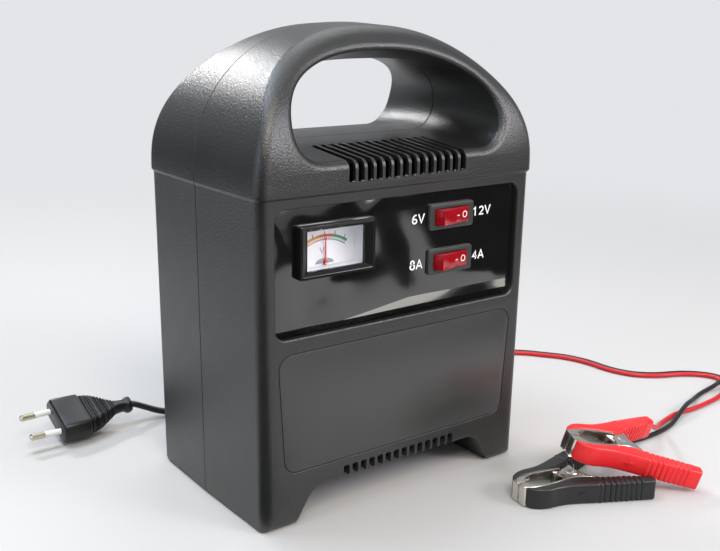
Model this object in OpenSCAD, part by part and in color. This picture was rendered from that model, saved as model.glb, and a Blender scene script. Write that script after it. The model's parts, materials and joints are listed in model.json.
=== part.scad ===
// Car battery charger: two moulded half shells with a carrying handle, a control
// panel with meter and rocker switches, transformer and rectifier inside, a mains
// lead with a flat two-pin plug and a charging lead with a red and a black clamp.
// Millimetres. +X right, +Y to the back, +Z up. Origin: bottom centre of the housing.

/* [Housing] */
// Overall width across the shoulder
body_w = 180; // [176:1:192]
// Overall depth
body_d = 116; // [112:1:124]
// Overall height to the top of the handle
body_h = 250; // [247:1:258]
// Moulded wall thickness
wall = 2.5; // [2:0.1:3]
// Depth of the front shell, from the front to the parting line
front_depth = 61; // [56:1:66]
// Shoulder step that runs round the housing, below the top
shoulder_drop = 79; // [77:0.5:80]
// How far the part above the shoulder stands proud
shoulder_step = 1.4; // [0.8:0.1:2]
// Rounding radius of the front and rear edges
edge_r = 6; // [4.5:0.5:7]
// Squareness of the handle's outer arch, 2 is an ellipse
arch_power = 2.25; // [2:0.05:2.6]
// Inset of each half at its face, from mould draft
draft = 0.8; // [0.4:0.1:1.2]
// Half width of the housing at the floor, less than at the shoulder by this much
foot_taper = 1.6; // [0:0.2:3]

/* [Handle] */
// Half width of the hand opening
grip_half_w = 66; // [60:1:68]
// Floor of the hand opening, below the top
grip_floor_drop = 60; // [58:0.5:61]
// Thickness of the handle over the hand opening
handle_t = 18; // [16:1:24]
// Radius of the lower corners of the hand opening
grip_corner_r = 15; // [10:1:17]
// Edge rounding where the hand opening meets the front and the rear
grip_lip_r = 4.5; // [3:0.5:6]
// How far the opening's floor falls towards its front rim
grip_fall = 3.5; // [0:0.5:5]
// How far its crown rises towards the front rim
grip_rise = 4.5; // [0:0.5:5]
// How far its floor falls towards the rear rim
grip_fall_rear = 2.3; // [0:0.1:4]
// How far its sides spread towards the rear rim
grip_spread = 5; // [0:0.5:6]
// Where the front and rear begin to lean inwards, below the top
lean_drop = 68; // [64:1:70]
// Radius of that curve
lean_r = 62; // [56:1:72]
// Steepest lean from the vertical
lean_max = 36; // [30:1:40]

/* [Feet and vents] */
// Height of the arch between the two side runners
foot_arch_h = 19.5; // [16:0.5:21]
// Half width of that arch at the floor
foot_arch_half_w = 68; // [64:1:70]
// Number of vent slots in a row
vent_count = 14; // [10:1:15]
// Distance from slot to slot
vent_pitch = 5.53; // [5.2:0.05:6]
// Width of a slot
vent_w = 3.75; // [3.2:0.05:4]
// Lower end of the upper slots, above the shoulder
vent_top_rise = 4.6; // [3.6:0.2:7]
// How far the upper slots run back along the floor of the hand opening
vent_top_depth = 36; // [24:1:38]
// Upper end of the lower slots
vent_low_z1 = 25.9; // [24:0.1:27]

/* [Control panel] */
// Width of the control recess
panel_w = 158; // [152:1:162]
// Height of the control recess
panel_h = 64; // [62:0.5:66]
// Upper edge of the control recess, below the shoulder
panel_drop = 5.5; // [4.5:0.5:7]
// Depth of the recess's floor behind the plane of the front
panel_depth = 5.6; // [5:0.2:7]
// Thickness of the glossy fascia
fascia_t = 1.1; // [0.8:0.1:1.6]
// Corner radius of the recess
panel_r = 6; // [4:0.5:8]
// Gap round a fitted plate
plate_gap = 0.3; // [0.2:0.05:0.5]
// Lower edge of the information plate's recess
label_z0 = 30.2; // [29:0.2:33]
// Upper edge of the information plate's recess, below the control recess
label_drop = 7.8; // [5.5:0.1:12]
// Width of that recess at its upper edge
label_w1 = 155; // [150:1:158]
// Width of that recess at its lower edge
label_w0 = 149; // [144:1:151]
// Depth of that recess
label_depth = 0.9; // [0.6:0.1:1.2]

/* [Meter] */
// Meter centre, across
meter_x = -43; // [-46:0.5:-40]
// Meter centre, above the middle of the recess
meter_rise = 9.9; // [7.5:0.1:11.5]
// Bezel width
meter_w = 45.4; // [42:0.2:48]
// Bezel height
meter_h = 27; // [25:0.2:29]
// How far the bezel stands proud of the fascia
meter_proud = 4; // [3:0.2:4.4]
// Window width
meter_win_w = 34.5; // [31:0.5:35]
// Window height
meter_win_h = 20; // [18:0.5:21]
// Depth of the dial behind the bezel's face
meter_dial_depth = 12.9; // [11:0.1:14]
// Depth of the meter case behind the fascia's back
meter_case_depth = 20; // [18:0.5:24]

/* [Rocker switches] */
// Switch centre, across
switch_x = 32; // [29:0.5:35]
// Voltage switch, above the middle of the recess
switch_volt_rise = 18.1; // [16.5:0.1:19.5]
// Current switch, below the middle of the recess
switch_amp_drop = 6.2; // [4.5:0.1:8.5]
// Bezel width
switch_w = 30.8; // [29:0.2:32]
// Bezel height
switch_h = 13.8; // [13:0.2:14.6]
// Rocker width
rocker_w = 23.2; // [22:0.2:24]
// Rocker height
rocker_h = 8.6; // [8:0.1:9]
// Bezel thickness in front of the fascia
switch_bezel_t = 1.8; // [1.2:0.1:2]
// Full angle that a rocker travels
rocker_travel = 24; // [20:1:26]
// Depth of the switch body behind the fascia
switch_body_depth = 18; // [16:0.5:21]

/* [Transformer] */
// Width of the laminated core
core_w = 84; // [78:1:90]
// Height of the laminated core
core_h = 70; // [64:1:76]
// Thickness of the lamination stack
core_t = 34; // [28:1:38]
// Middle of the heat sink, below the hand opening
heatsink_drop = 40; // [38:1:44]
// Height of the core's middle, as a share of the heat sink's
core_share = 0.493; // [0.47:0.005:0.51]

/* [Leads] */
// Width of the flat mains cord
mains_cord_w = 5.4; // [5:0.1:6]
// Thickness of the flat mains cord
mains_cord_t = 3.4; // [3:0.1:3.8]
// Width of the twin charging lead
dc_lead_w = 6.2; // [5.6:0.1:6.6]
// Thickness of the twin charging lead
dc_lead_t = 3.1; // [2.8:0.1:3.4]
// Diameter of the red and of the black single lead
single_d = 3; // [2.6:0.1:3.4]
// Mains outlet, across
mains_x = -50; // [-56:1:-44]
// Charging lead outlet, across
dc_x = 55; // [48:1:60]
// Height of both outlets
outlet_z = 34; // [32:1:40]
// Length of each strain relief outside the shell
relief_l = 28; // [24:1:34]

/* [Plug] */
// Width of the plug body
plug_w = 35.3; // [35.3:0.1:37.1]
// Thickness of the plug body
plug_t = 13.7; // [13:0.1:14]
// Length of the plug's block, before its neck
plug_block_l = 17; // [15:0.5:20]
// Length of the ribbed neck
plug_neck_l = 31; // [27:0.5:34]
// Pin diameter
pin_d = 4; // [3.94:0.02:4.06]
// Pin length
pin_l = 19; // [19:0.1:19.4]
// Pin distance at the plug's face
pin_spacing = 18.6; // [18:0.1:19.2]
// Length of the insulating sleeve on each pin
sleeve_l = 10; // [9:0.5:11]

/* [Clamps] */
// Width of a clamp along its pivot
clamp_w = 12; // [11:0.2:13]
// Distance from the jaw tips to the pivot
clamp_pivot = 33; // [33:0.5:34]
// Splay of each handle from the middle
clamp_splay = 18.8; // [17:0.2:20]
// Pivot pin diameter
clamp_pin_d = 3.2; // [2.8:0.1:3.6]
// Sheet thickness of the jaws
jaw_t = 1.2; // [1:0.1:1.3]

/* [Hidden] */
$fn = 32;
eps = 0.01;
run_gap = 0.3;
fit_gap = 0.05;

// ---- Housing outline -------------------------------------------------------

half_w = body_w / 2;
shoulder_z = body_h - shoulder_drop;
grip_floor_z = body_h - grip_floor_drop;
grip_top_z = body_h - handle_t;
lean_z = body_h - lean_drop;
vent_top_z0 = shoulder_z + vent_top_rise;
panel_z1 = shoulder_z - panel_drop;
panel_z0 = panel_z1 - panel_h;
panel_mid_z = (panel_z0 + panel_z1) / 2;
label_z1 = panel_z0 - label_drop;
meter_z = panel_mid_z + meter_rise;
switch_z_volt = panel_mid_z + switch_volt_rise;
switch_z_amp = panel_mid_z - switch_amp_drop;
heatsink_z = grip_floor_z - heatsink_drop;
core_z = heatsink_z * core_share;
front_y = -body_d / 2;
rear_y = body_d / 2;
parting_y = front_y + front_depth;
rear_depth = body_d - front_depth;
side_step = shoulder_step / 2;
low_half_w = half_w - side_step;
arch_rise = body_h - shoulder_z;
foot_r = 3;
arch_steps = 16;
round_steps = 3;
lean_arc_h = lean_r * sin(lean_max);
lean_arc_y = lean_r * (1 - cos(lean_max));

// How far a face has leaned inwards at height z: an arc, then its tangent.
function lean(z) =
    let (h = z - lean_z)
    h <= 0 ? 0 :
    h < lean_arc_h ? lean_r - sqrt(lean_r * lean_r - h * h) :
    lean_arc_y + (h - lean_arc_h) * tan(lean_max);

// The shoulder step as a soft ramp from 0 below to 1 above.
function shoulder(z) = let (t = min(1, max(0, (z - shoulder_z + 1) / 2))) t * t * (3 - 2 * t);

// Distance of a face from the plane of the front, at height z.
function face_in(z) = lean(z) + shoulder_step * (1 - shoulder(z));

// Half width of the straight side at height z.
function side_x(z) = low_half_w - foot_taper * (1 - z / shoulder_z) + side_step * shoulder(z);

// Right half of the outline, drawn inset by d but by low at the floor, up to the top centre.
function right_side(d, low) =
    let (r = max(foot_r - low, 0.4), x0 = side_x(0) - d - r, z0 = low + r)
    concat(
        [for (a = [-90, -45, 0]) [x0 + r * cos(a), z0 + r * sin(a)]],
        [for (z = [12, 60, 120, shoulder_z - 1, shoulder_z - 0.4, shoulder_z + 0.4]) [side_x(z) - d, z]],
        [for (k = [0:arch_steps])
            let (t = 90 * k / arch_steps)
            [
                k == arch_steps ? 0 : (half_w - d) * pow(cos(t), 2 / arch_power),
                shoulder_z + 1 + (arch_rise - 1 - d) * pow(sin(t), 2 / arch_power)
            ]
        ]
    );

// One ring round the half shell: the outline inset by d, at a depth e behind the face.
// The underside has no draft.
function shell_ring(d, e, flat_y) =
    let (right = right_side(d, is_undef(flat_y) ? d - draft : d), n = len(right))
    concat(
        [for (p = right) [p[0], is_undef(flat_y) ? front_y + face_in(p[1]) + e : flat_y, p[1]]],
        [for (i = [n - 2:-1:0])
            let (p = right[i])
            [-p[0], is_undef(flat_y) ? front_y + face_in(p[1]) + e : flat_y, p[1]]
        ]
    );

// Faces that close a stack of rings; both ends are ladders of level strips.
function stack_faces(rings, n) =
    let (half = (n - 1) / 2, last = (rings - 1) * n)
    concat(
        [for (k = [0:rings - 2], i = [0:n - 1])
            let (j = (i + 1) % n)
            [(k + 1) * n + i, (k + 1) * n + j, k * n + j, k * n + i]
        ],
        [for (i = [0:half - 2]) [i + 1, n - 2 - i, n - 1 - i, i]],
        [[half, half + 1, half - 1]],
        [for (i = [0:half - 2]) [last + n - 1 - i, last + n - 2 - i, last + i + 1, last + i]],
        [[last + half + 1, last + half, last + half - 1]]
    );

// Solid of one half, from the plane y = plane to its face, drawn inset by off.
module half_solid(off, plane) {
    r = edge_r - off;
    turn = [for (k = [0:round_steps]) 90 - 90 * k / round_steps];
    rings = concat(
        [shell_ring(off, 0, plane)],
        [for (u = turn) shell_ring(draft + off + r * (1 - sin(u)), off + r * (1 - cos(u)))]
    );
    polyhedron(
        points = [for (ring = rings) each ring],
        faces = stack_faces(len(rings), len(rings[0])),
        convexity = 6
    );
}

// ---- Openings in the housing -----------------------------------------------

grip_power = 2.7;
grip_centre_z = grip_floor_z + grip_corner_r;
grip_straight = 22;

// Change of the hand opening up to a rim: fall, rise, spread and loss of squareness.
grip_front = [grip_fall, grip_rise, 0, 0.45];
grip_rear = [grip_fall_rear, 0, grip_spread, 0];

// Outline of the hand opening, grown by g, with the part t of its change up to a rim.
function grip_ring(g, rim, t) =
    let (
        w = grip_half_w + g + rim[2] * t,
        r = grip_corner_r + g,
        mid_z = grip_centre_z - rim[0] * t,
        top_z = grip_top_z + g + rim[1] * t,
        power = 2 / (grip_power - rim[3] * t)
    )
    concat(
        [for (k = [0:16])
            let (a = 180 * k / 16, c = cos(a), s = sin(a))
            [w * sign(c) * pow(abs(c), power), mid_z + (top_z - mid_z) * pow(abs(s), power)]
        ],
        [for (a = [198:18:270]) [-(w - r) + r * cos(a), mid_z + r * sin(a)]],
        [for (a = [270:18:342]) [w - r + r * cos(a), mid_z + r * sin(a)]]
    );

// Places an outline at depth e behind the face, or in the plane y = flat_y.
function grip_at(ring, e, flat_y) =
    [for (p = ring) [p[0], is_undef(flat_y) ? front_y + face_in(p[1]) + e : flat_y, p[1]]];

// Solid through a stack of outlines.
module grip_stack(rings) {
    n = len(rings[0]);
    m = len(rings);
    polyhedron(
        points = [for (ring = rings) each ring],
        faces = concat(
            [[for (i = [0:n - 1]) i]],
            [for (k = [0:m - 2], i = [0:n - 1], h = [0, 1])
                let (j = (i + 1) % n, a = k * n, b = a + n)
                h == 0 ? [a + i, b + i, b + j] : [a + i, b + j, a + j]
            ],
            [for (i = [1:n - 2]) [(m - 1) * n, (m - 1) * n + i + 1, (m - 1) * n + i]]
        ),
        convexity = 6
    );
}

// The hand opening of one half, flared over its lip and carried on past the face.
module grip_cut(plane, rim) {
    lip = [for (u = [0, 20, 40, 60, 80]) [grip_lip_r * (1 - cos(u)), grip_lip_r * (1 - sin(u))]];
    flare = concat(lip, [[lip[4][0] + 3.8, lip[4][1] - 0.67], [lip[4][0] + 3.8, -6]]);
    grip_stack(concat(
        [for (y = [plane, plane - grip_straight]) grip_at(grip_ring(0, rim, 0), 0, y)],
        [for (f = flare) grip_at(grip_ring(f[0], rim, 1), f[1])]
    ));
}

// What the hollow leaves standing round the hand opening.
module grip_wall(plane, rim) {
    grip_stack([
        grip_at(grip_ring(wall, rim, 0), 0, plane),
        grip_at(grip_ring(wall, rim, 0), 0, plane - grip_straight),
        grip_at(grip_ring(wall, rim, 1), grip_lip_r),
        grip_at(grip_ring(wall, rim, 1), 0, front_y - 1)
    ]);
}

// Puts a drawing of the front view into place, extruded from y0 back to y1.
module front_prism(y0, y1) {
    translate([0, y1, 0]) rotate([90, 0, 0]) linear_extrude(y1 - y0) children();
}

module rounded_rect(w, h, r) {
    hull() for (x = [-1, 1], z = [-1, 1]) translate([x * (w / 2 - r), z * (h / 2 - r)]) circle(r, $fn = 24);
}

// The tunnel between the runners, grown by g.
module foot_arch_2d(g) {
    slope = 0.64;
    top = foot_arch_half_w - slope * foot_arch_h;
    offset(delta = g) offset(r = 12, $fn = 24) offset(delta = -12)
        polygon([
            [-foot_arch_half_w - 30 * slope, -30], [foot_arch_half_w + 30 * slope, -30],
            [top, foot_arch_h], [-top, foot_arch_h]
        ]);
}

module panel_2d(g) {
    translate([0, (panel_z0 + panel_z1) / 2]) rounded_rect(panel_w + 2 * g, panel_z1 - panel_z0 + 2 * g, panel_r + g);
}

label_r = 8;

module label_2d(g) {
    hull() {
        for (x = [-1, 1]) {
            translate([x * (label_w1 / 2 - label_r), label_z1 - label_r]) circle(label_r + g, $fn = 24);
            translate([x * (label_w0 / 2 - label_r), label_z0 + label_r]) circle(label_r + g, $fn = 24);
        }
    }
}

vent_x0 = -vent_pitch * (vent_count - 1) / 2;
vent_corner_r = 0.9;

// A row of upright slots with rounded lower or upper ends.
module vent_row(z0, z1, y0, y1) {
    for (i = [0:vent_count - 1])
        translate([vent_x0 + i * vent_pitch, 0, 0])
            hull() {
                for (x = [-1, 1], z = [z0 + vent_corner_r, z1 - vent_corner_r])
                    translate([x * (vent_w / 2 - vent_corner_r), y1, z])
                        rotate([90, 0, 0]) cylinder(r = vent_corner_r, h = y1 - y0, $fn = 4);
            }
}

// ---- Where things fasten ---------------------------------------------------

screw_r = 1.9;
screw_head_r = 3.7;
screw_head_h = 2.6;
screw_l = 24;
screw_grip = 8;
boss_r = 4.9;
boss_x = 76;
boss_low_z = 34;
boss_mid_z = shoulder_z - 39;
boss_top_z = (grip_top_z + body_h) / 2 - 0.2;
case_screws = [
    [-boss_x, boss_low_z], [boss_x, boss_low_z], [-boss_x, boss_mid_z], [boss_x, boss_mid_z], [0, boss_top_z]
];
top_boss_r = 4.6;
screw_seat_y = parting_y + screw_grip;

post_r = 4.2;
post_pilot_r = 1.45;
post_screw_r = 1.4;
post_screw_head_r = 2.9;
post_screw_l = 9;

bracket_t = 1.6;
rear_inner_y = rear_y - shoulder_step - wall;
bracket_y = rear_inner_y - 17.1;
bracket_screw_x = core_w / 2 + 9;
bracket_screw_z = 22;
bracket_screws = [for (x = [-1, 1], z = [-1, 1]) [x * bracket_screw_x, core_z + z * bracket_screw_z]];

heatsink_w = 96;
heatsink_h = 40;
heatsink_t = 2;
heatsink_y = rear_inner_y - 21.1;
heatsink_screws_at = [for (x = [-1, 1]) [x * (heatsink_w / 2 - 7), heatsink_z]];

outlets = [[mains_x, outlet_z], [dc_x, outlet_z]];
outlet_r = 5;

meter_body_w = 40;
meter_body_h = 24;
switch_body_w = 27;
switch_body_h = 11.6;
panel_floor_y = front_y + panel_depth;
fascia_y = panel_floor_y - fascia_t;
backing_y = panel_floor_y + wall;

// ---- Shells ------------------------------------------------------------------

module along_y(at, y0, y1, r) {
    translate([at[0], y1, at[1]]) rotate([90, 0, 0]) cylinder(r = r, h = y1 - y0, $fn = 20);
}

// The hollow of a half: its inner skin, less the walls of the arch and the hand opening.
module hollow(plane, rim) {
    difference() {
        half_solid(wall, plane);
        front_prism(front_y - 1, plane + 1) foot_arch_2d(wall);
        grip_wall(plane + 1, rim);
        children();
    }
}

module panel_cutouts_2d(g) {
    translate([meter_x, meter_z]) square([meter_body_w + 2 * g, meter_body_h + 2 * g], center = true);
    for (z = [switch_z_volt, switch_z_amp])
        translate([switch_x, z]) square([switch_body_w + 2 * g, switch_body_h + 2 * g], center = true);
}

module front_shell() {
    color([0.2, 0.2, 0.19])
        difference() {
            half_solid(0, parting_y);
            difference() {
                hollow(parting_y + eps, grip_front) front_prism(front_y - 1, backing_y) panel_2d(wall);
                for (at = case_screws)
                    along_y(at, front_y, parting_y + 1, at[0] == 0 ? top_boss_r : boss_r);
            }
            for (at = case_screws) along_y(at, parting_y - 18, parting_y + 1, screw_r + fit_gap * 2);
            grip_cut(parting_y + 1, grip_front);
            front_prism(front_y - 1, parting_y + 1) foot_arch_2d(0);
            front_prism(front_y - 9, panel_floor_y) panel_2d(0);
            front_prism(front_y, backing_y + 1) panel_cutouts_2d(0.2);
            front_prism(front_y - 9, front_y + shoulder_step + label_depth) label_2d(0);
            vent_row(vent_top_z0, grip_floor_z + 6, front_y - 1, front_y + vent_top_depth);
            vent_row(foot_arch_h - 4, vent_low_z1, front_y - 1, front_y + 18);
        }
}

module rear_shell() {
    color([0.18, 0.18, 0.18])
        mirror([0, 1, 0])
            difference() {
                half_solid(0, -parting_y);
                difference() {
                    hollow(-parting_y + eps, grip_rear);
                    for (at = case_screws)
                        along_y(at, front_y, -parting_y + 1, at[0] == 0 ? top_boss_r : boss_r);
                    for (at = bracket_screws) along_y(at, front_y, -bracket_y - bracket_t, post_r);
                    for (at = heatsink_screws_at) along_y(at, front_y, -heatsink_y - heatsink_t, post_r);
                }
                for (at = case_screws) {
                    along_y(at, front_y - 1, -screw_seat_y, screw_head_r + 0.3);
                    along_y(at, front_y, -parting_y + 1, screw_r + 0.3);
                }
                for (at = bracket_screws)
                    along_y(at, -bracket_y - bracket_t - 10, -bracket_y, post_pilot_r);
                for (at = heatsink_screws_at)
                    along_y(at, -heatsink_y - heatsink_t - 10, -heatsink_y, post_pilot_r);
                for (at = outlets) along_y(at, front_y - 1, -rear_inner_y + 1, outlet_r);
                grip_cut(-parting_y + 1, grip_rear);
                front_prism(front_y - 1, -parting_y + 1) foot_arch_2d(0);
                vent_row(foot_arch_h - 4, vent_low_z1, front_y - 1, front_y + 18);
            }
}

module pan_screw(r, head_r, head_h, l) {
    rotate([-90, 0, 0])
        rotate_extrude($fn = 24)
            polygon([
                [0, -l], [r * 0.4, -l], [r, -l + r], [r, 0], [head_r, 0], [head_r, head_h * 0.45],
                [head_r * 0.7, head_h], [0, head_h]
            ]);
}

module housing_screws() {
    color([0.62, 0.62, 0.6])
        for (at = case_screws)
            translate([at[0], screw_seat_y, at[1]]) pan_screw(screw_r, screw_head_r, screw_head_h, screw_l);
}

// ---- Panel pieces --------------------------------------------------------------

module control_fascia() {
    color([0.05, 0.05, 0.05])
        front_prism(fascia_y, panel_floor_y)
            difference() {
                panel_2d(-plate_gap);
                panel_cutouts_2d(0.2);
            }
}

label_t = label_depth - 0.2;

module label_plate() {
    color([0.22, 0.22, 0.22])
        front_prism(front_y + shoulder_step + 0.2, front_y + shoulder_step + label_depth) label_2d(-plate_gap);
}

// ---- Meter ---------------------------------------------------------------------

meter_face_y = fascia_y - meter_proud;
meter_dial_y = meter_face_y + meter_dial_depth;
meter_dial_t = 0.6;
meter_bezel_back_y = fascia_y;
meter_frame_t = (meter_body_h - meter_win_h) / 2;
window_t = 1;
needle_pivot_z = meter_z - 9.3;
needle_y = meter_dial_y - 1.1;
needle_l = 12.8;
needle_boss_r = 1.2;

// Bezel with walls that slope in from its face to the window.
module meter_bezel() {
    color([0.1, 0.1, 0.1])
        difference() {
            translate([meter_x, 0, meter_z])
                intersection() {
                    front_prism(meter_face_y, meter_bezel_back_y) rounded_rect(meter_w, meter_h, 1.2);
                    union() {
                        front_prism(meter_face_y + 0.8, meter_bezel_back_y) square([meter_w, meter_h], center = true);
                        front_prism(meter_face_y, meter_face_y + 0.8)
                            square([meter_w - 1.2, meter_h - 1.2], center = true);
                    }
                }
            translate([meter_x, meter_face_y, meter_z])
                rotate([-90, 0, 0]) frustum(meter_w - 3.6, meter_h - 3.6, meter_win_w, meter_win_h, 2.1);
            translate([meter_x, 0, meter_z])
                front_prism(meter_face_y - 1, meter_bezel_back_y + 1)
                    square([meter_win_w, meter_win_h], center = true);
        }
}

// Block that narrows from w0 x h0 to w1 x h1 over its length, open faces along z.
module frustum(w0, h0, w1, h1, l) {
    polyhedron(
        points = [
            for (s = [[w0, h0, -0.01], [w1, h1, l]], c = [[-1, -1], [1, -1], [1, 1], [-1, 1]])
                [c[0] * s[0] / 2, c[1] * s[1] / 2, s[2]]
        ],
        faces = [
            [0, 1, 2, 3], [7, 6, 5, 4], [0, 4, 5, 1], [1, 5, 6, 2], [2, 6, 7, 3], [3, 7, 4, 0]
        ]
    );
}

// Pale lining box behind the bezel, closed at the back by the movement's block.
module meter_case() {
    color([0.85, 0.85, 0.82])
        translate([meter_x, 0, meter_z])
            difference() {
                front_prism(meter_bezel_back_y, panel_floor_y + meter_case_depth)
                    square([meter_body_w, meter_body_h], center = true);
                front_prism(meter_bezel_back_y - 1, panel_floor_y + meter_case_depth - 1.5)
                    square([meter_body_w - 2.4, meter_body_h - 2.4], center = true);
            }
}

module meter_window() {
    color([0.9, 0.95, 1, 0.3])
        translate([meter_x, 0, meter_z])
            front_prism(meter_bezel_back_y, meter_bezel_back_y + window_t)
                square([meter_body_w - 2.4 - plate_gap, meter_body_h - 2.4 - plate_gap], center = true);
}

spindle_r = 0.8;

module meter_dial() {
    color([0.95, 0.95, 0.93])
        difference() {
            translate([meter_x, 0, meter_z])
                front_prism(meter_dial_y, meter_dial_y + meter_dial_t)
                    square([meter_body_w - 2.5, meter_body_h - 2.5], center = true);
            along_y([meter_x, needle_pivot_z], meter_dial_y - 1, meter_dial_y + 2, spindle_r);
        }
}

// Moving-coil works: a magnet block behind the dial, and the spindle the needle turns on.
module meter_movement() {
    movement_y1 = panel_floor_y + meter_case_depth - 1.5;
    color([0.5, 0.5, 0.5]) {
        translate([meter_x - 9, meter_dial_y + meter_dial_t, meter_z - 10])
            cube([18, movement_y1 - meter_dial_y - meter_dial_t, 17]);
        along_y([meter_x, needle_pivot_z], meter_dial_y - 2.2, meter_dial_y + meter_dial_t + 2, spindle_r);
    }
}

module meter_needle() {
    color([0.75, 0.08, 0.06])
        difference() {
            union() {
                along_y([meter_x, needle_pivot_z], meter_dial_y - 1.8, meter_dial_y - 0.3, needle_boss_r);
                translate([meter_x - 0.3, needle_y - 0.2, needle_pivot_z + 1]) cube([0.6, 0.4, needle_l - 1]);
            }
            along_y([meter_x, needle_pivot_z], meter_dial_y - 3, meter_dial_y + 1, spindle_r + fit_gap);
        }
}

// ---- Rocker switches -------------------------------------------------------------

switch_front_y = fascia_y - switch_bezel_t;
rocker_pivot_y = switch_front_y + 2;
rocker_face = 4.9;
rocker_half = rocker_w / 2 - 1.2;
rocker_swing_r = rocker_w / 2 - 0.3;
rocker_stub_r = 1;
rocker_stub_l = 1.2;
rocker_side_gap = 0.15;

module switch_body(z) {
    color([0.12, 0.12, 0.12])
        translate([switch_x, 0, z])
            difference() {
                union() {
                    front_prism(switch_front_y, fascia_y) square([switch_w, switch_h], center = true);
                    front_prism(fascia_y - eps, fascia_y + switch_body_depth)
                        square([switch_body_w, switch_body_h], center = true);
                }
                front_prism(switch_front_y - 1, fascia_y + 12) square([rocker_w, rocker_h], center = true);
                translate([0, rocker_pivot_y, -rocker_h / 2 - rocker_stub_l])
                    cylinder(r = rocker_stub_r + fit_gap, h = rocker_h + 2 * rocker_stub_l, $fn = 24);
            }
}

// Rocker in plan, level: a shallow hollow face between two ridges, curved end walls
// that swing past the bezel, and a foot that carries the tipping contact.
module rocker_2d() {
    right = concat(
        [[rocker_half, -rocker_face], [rocker_half + 0.25, -rocker_face + 0.5]],
        [for (a = [-8:8:16]) [rocker_swing_r * cos(a), rocker_swing_r * sin(a)]],
        [[4.4, 4.6], [2, 8]]
    );
    polygon(concat(
        [[0, -rocker_face + 0.35]], right, [for (i = [len(right) - 1:-1:0]) [-right[i][0], right[i][1]]]
    ));
}

module rocker(z) {
    color([0.75, 0.06, 0.08])
        translate([switch_x, rocker_pivot_y, z])
            rotate([0, 0, rocker_travel / 2]) {
                translate([0, 0, -rocker_h / 2 + rocker_side_gap])
                    linear_extrude(rocker_h - 2 * rocker_side_gap) rocker_2d();
                translate([0, 0, -rocker_h / 2 - rocker_stub_l + 0.2])
                    cylinder(r = rocker_stub_r, h = rocker_h + 2 * rocker_stub_l - 0.4, $fn = 24);
            }
}

module switch_terminals(z) {
    color([0.8, 0.68, 0.4])
        for (x = [-8.5, 0, 8.5])
            translate([switch_x + x - 0.4, fascia_y + switch_body_depth, z - 2.4]) cube([0.8, 8, 4.8]);
}

module voltage_switch_body() { switch_body(switch_z_volt); }
module voltage_rocker() { rocker(switch_z_volt); }
module voltage_switch_terminals() { switch_terminals(switch_z_volt); }
module current_switch_body() { switch_body(switch_z_amp); }
module current_rocker() { rocker(switch_z_amp); }
module current_switch_terminals() { switch_terminals(switch_z_amp); }

// ---- Transformer -----------------------------------------------------------------

core_leg = core_w / 6;
window_w = core_w / 6;
core_y1 = bracket_y;
core_y0 = core_y1 - core_t;
bobbin_wall = 1.2;
winding_out = 9;

module transformer_core() {
    color([0.35, 0.36, 0.38])
        difference() {
            translate([-core_w / 2, core_y0, core_z - core_h / 2]) cube([core_w, core_t, core_h]);
            for (x = [-1, 1])
                translate([x * (core_leg + window_w / 2), core_y0 - 1, core_z])
                    translate([-window_w / 2, 0, -core_h / 2 + core_leg])
                        cube([window_w, core_t + 2, core_h - 2 * core_leg]);
        }
}

// A tube round the middle leg, between heights z0 and z1.
module leg_tube(inner, outer, z0, z1) {
    difference() {
        translate([-core_leg - outer, core_y0 - outer, z0]) cube([2 * (core_leg + outer), core_t + 2 * outer, z1 - z0]);
        translate([-core_leg - inner, core_y0 - inner, z0 - 1])
            cube([2 * (core_leg + inner), core_t + 2 * inner, z1 - z0 + 2]);
    }
}

bobbin_z0 = core_z - core_h / 2 + core_leg;
bobbin_z1 = core_z + core_h / 2 - core_leg;

module transformer_bobbin() {
    color([0.9, 0.88, 0.8])
        intersection() {
            union() {
                leg_tube(0, bobbin_wall, bobbin_z0, bobbin_z1);
                for (z = [bobbin_z0, core_z - bobbin_wall / 2, bobbin_z1 - bobbin_wall])
                    leg_tube(0, winding_out + 1.4, z, z + bobbin_wall);
            }
            union() {
                translate([-core_leg - window_w + 0.1, core_y0 - 30, bobbin_z0])
                    cube([2 * (core_leg + window_w) - 0.2, core_t + 60, bobbin_z1 - bobbin_z0]);
            }
        }
}

module primary_winding() {
    color([0.72, 0.35, 0.16])
        leg_tube(bobbin_wall, winding_out, core_z + bobbin_wall / 2, bobbin_z1 - bobbin_wall);
}

module secondary_winding() {
    color([0.78, 0.42, 0.2])
        leg_tube(bobbin_wall, winding_out, bobbin_z0 + bobbin_wall, core_z - bobbin_wall / 2);
}

// Sheet bracket: a plate behind the core, its middle cut away for the windings.
module transformer_bracket() {
    color([0.6, 0.6, 0.58])
        difference() {
            translate([-bracket_screw_x - 6, bracket_y, core_z - core_h / 2])
                cube([2 * bracket_screw_x + 12, bracket_t, core_h]);
            translate([-core_leg - window_w, bracket_y - 1, bobbin_z0])
                cube([2 * (core_leg + window_w), bracket_t + 2, bobbin_z1 - bobbin_z0]);
            for (at = bracket_screws) along_y(at, bracket_y - 1, bracket_y + bracket_t + 1, post_pilot_r + 0.2);
        }
}

module post_screws(places, y) {
    color([0.62, 0.62, 0.6])
        for (at = places)
            translate([at[0], y, at[1]]) mirror([0, 1, 0]) pan_screw(post_screw_r, post_screw_head_r, 1.8, post_screw_l);
}

module transformer_screws() { post_screws(bracket_screws, bracket_y); }

// ---- Rectifier --------------------------------------------------------------------

module heatsink_plate() {
    color([0.75, 0.76, 0.78])
        difference() {
            union() {
                translate([-heatsink_w / 2, heatsink_y, heatsink_z - heatsink_h / 2])
                    cube([heatsink_w, heatsink_t, heatsink_h]);
                for (x = [-24, 0, 24])
                    translate([x - 0.8, heatsink_y + heatsink_t - eps, heatsink_z - heatsink_h / 2])
                        cube([1.6, 10, heatsink_h]);
            }
            for (at = heatsink_screws_at)
                along_y(at, heatsink_y - 1, heatsink_y + heatsink_t + 1, post_pilot_r + 0.2);
        }
}

diode_r = 6.3;
diode_h = 6;

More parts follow.
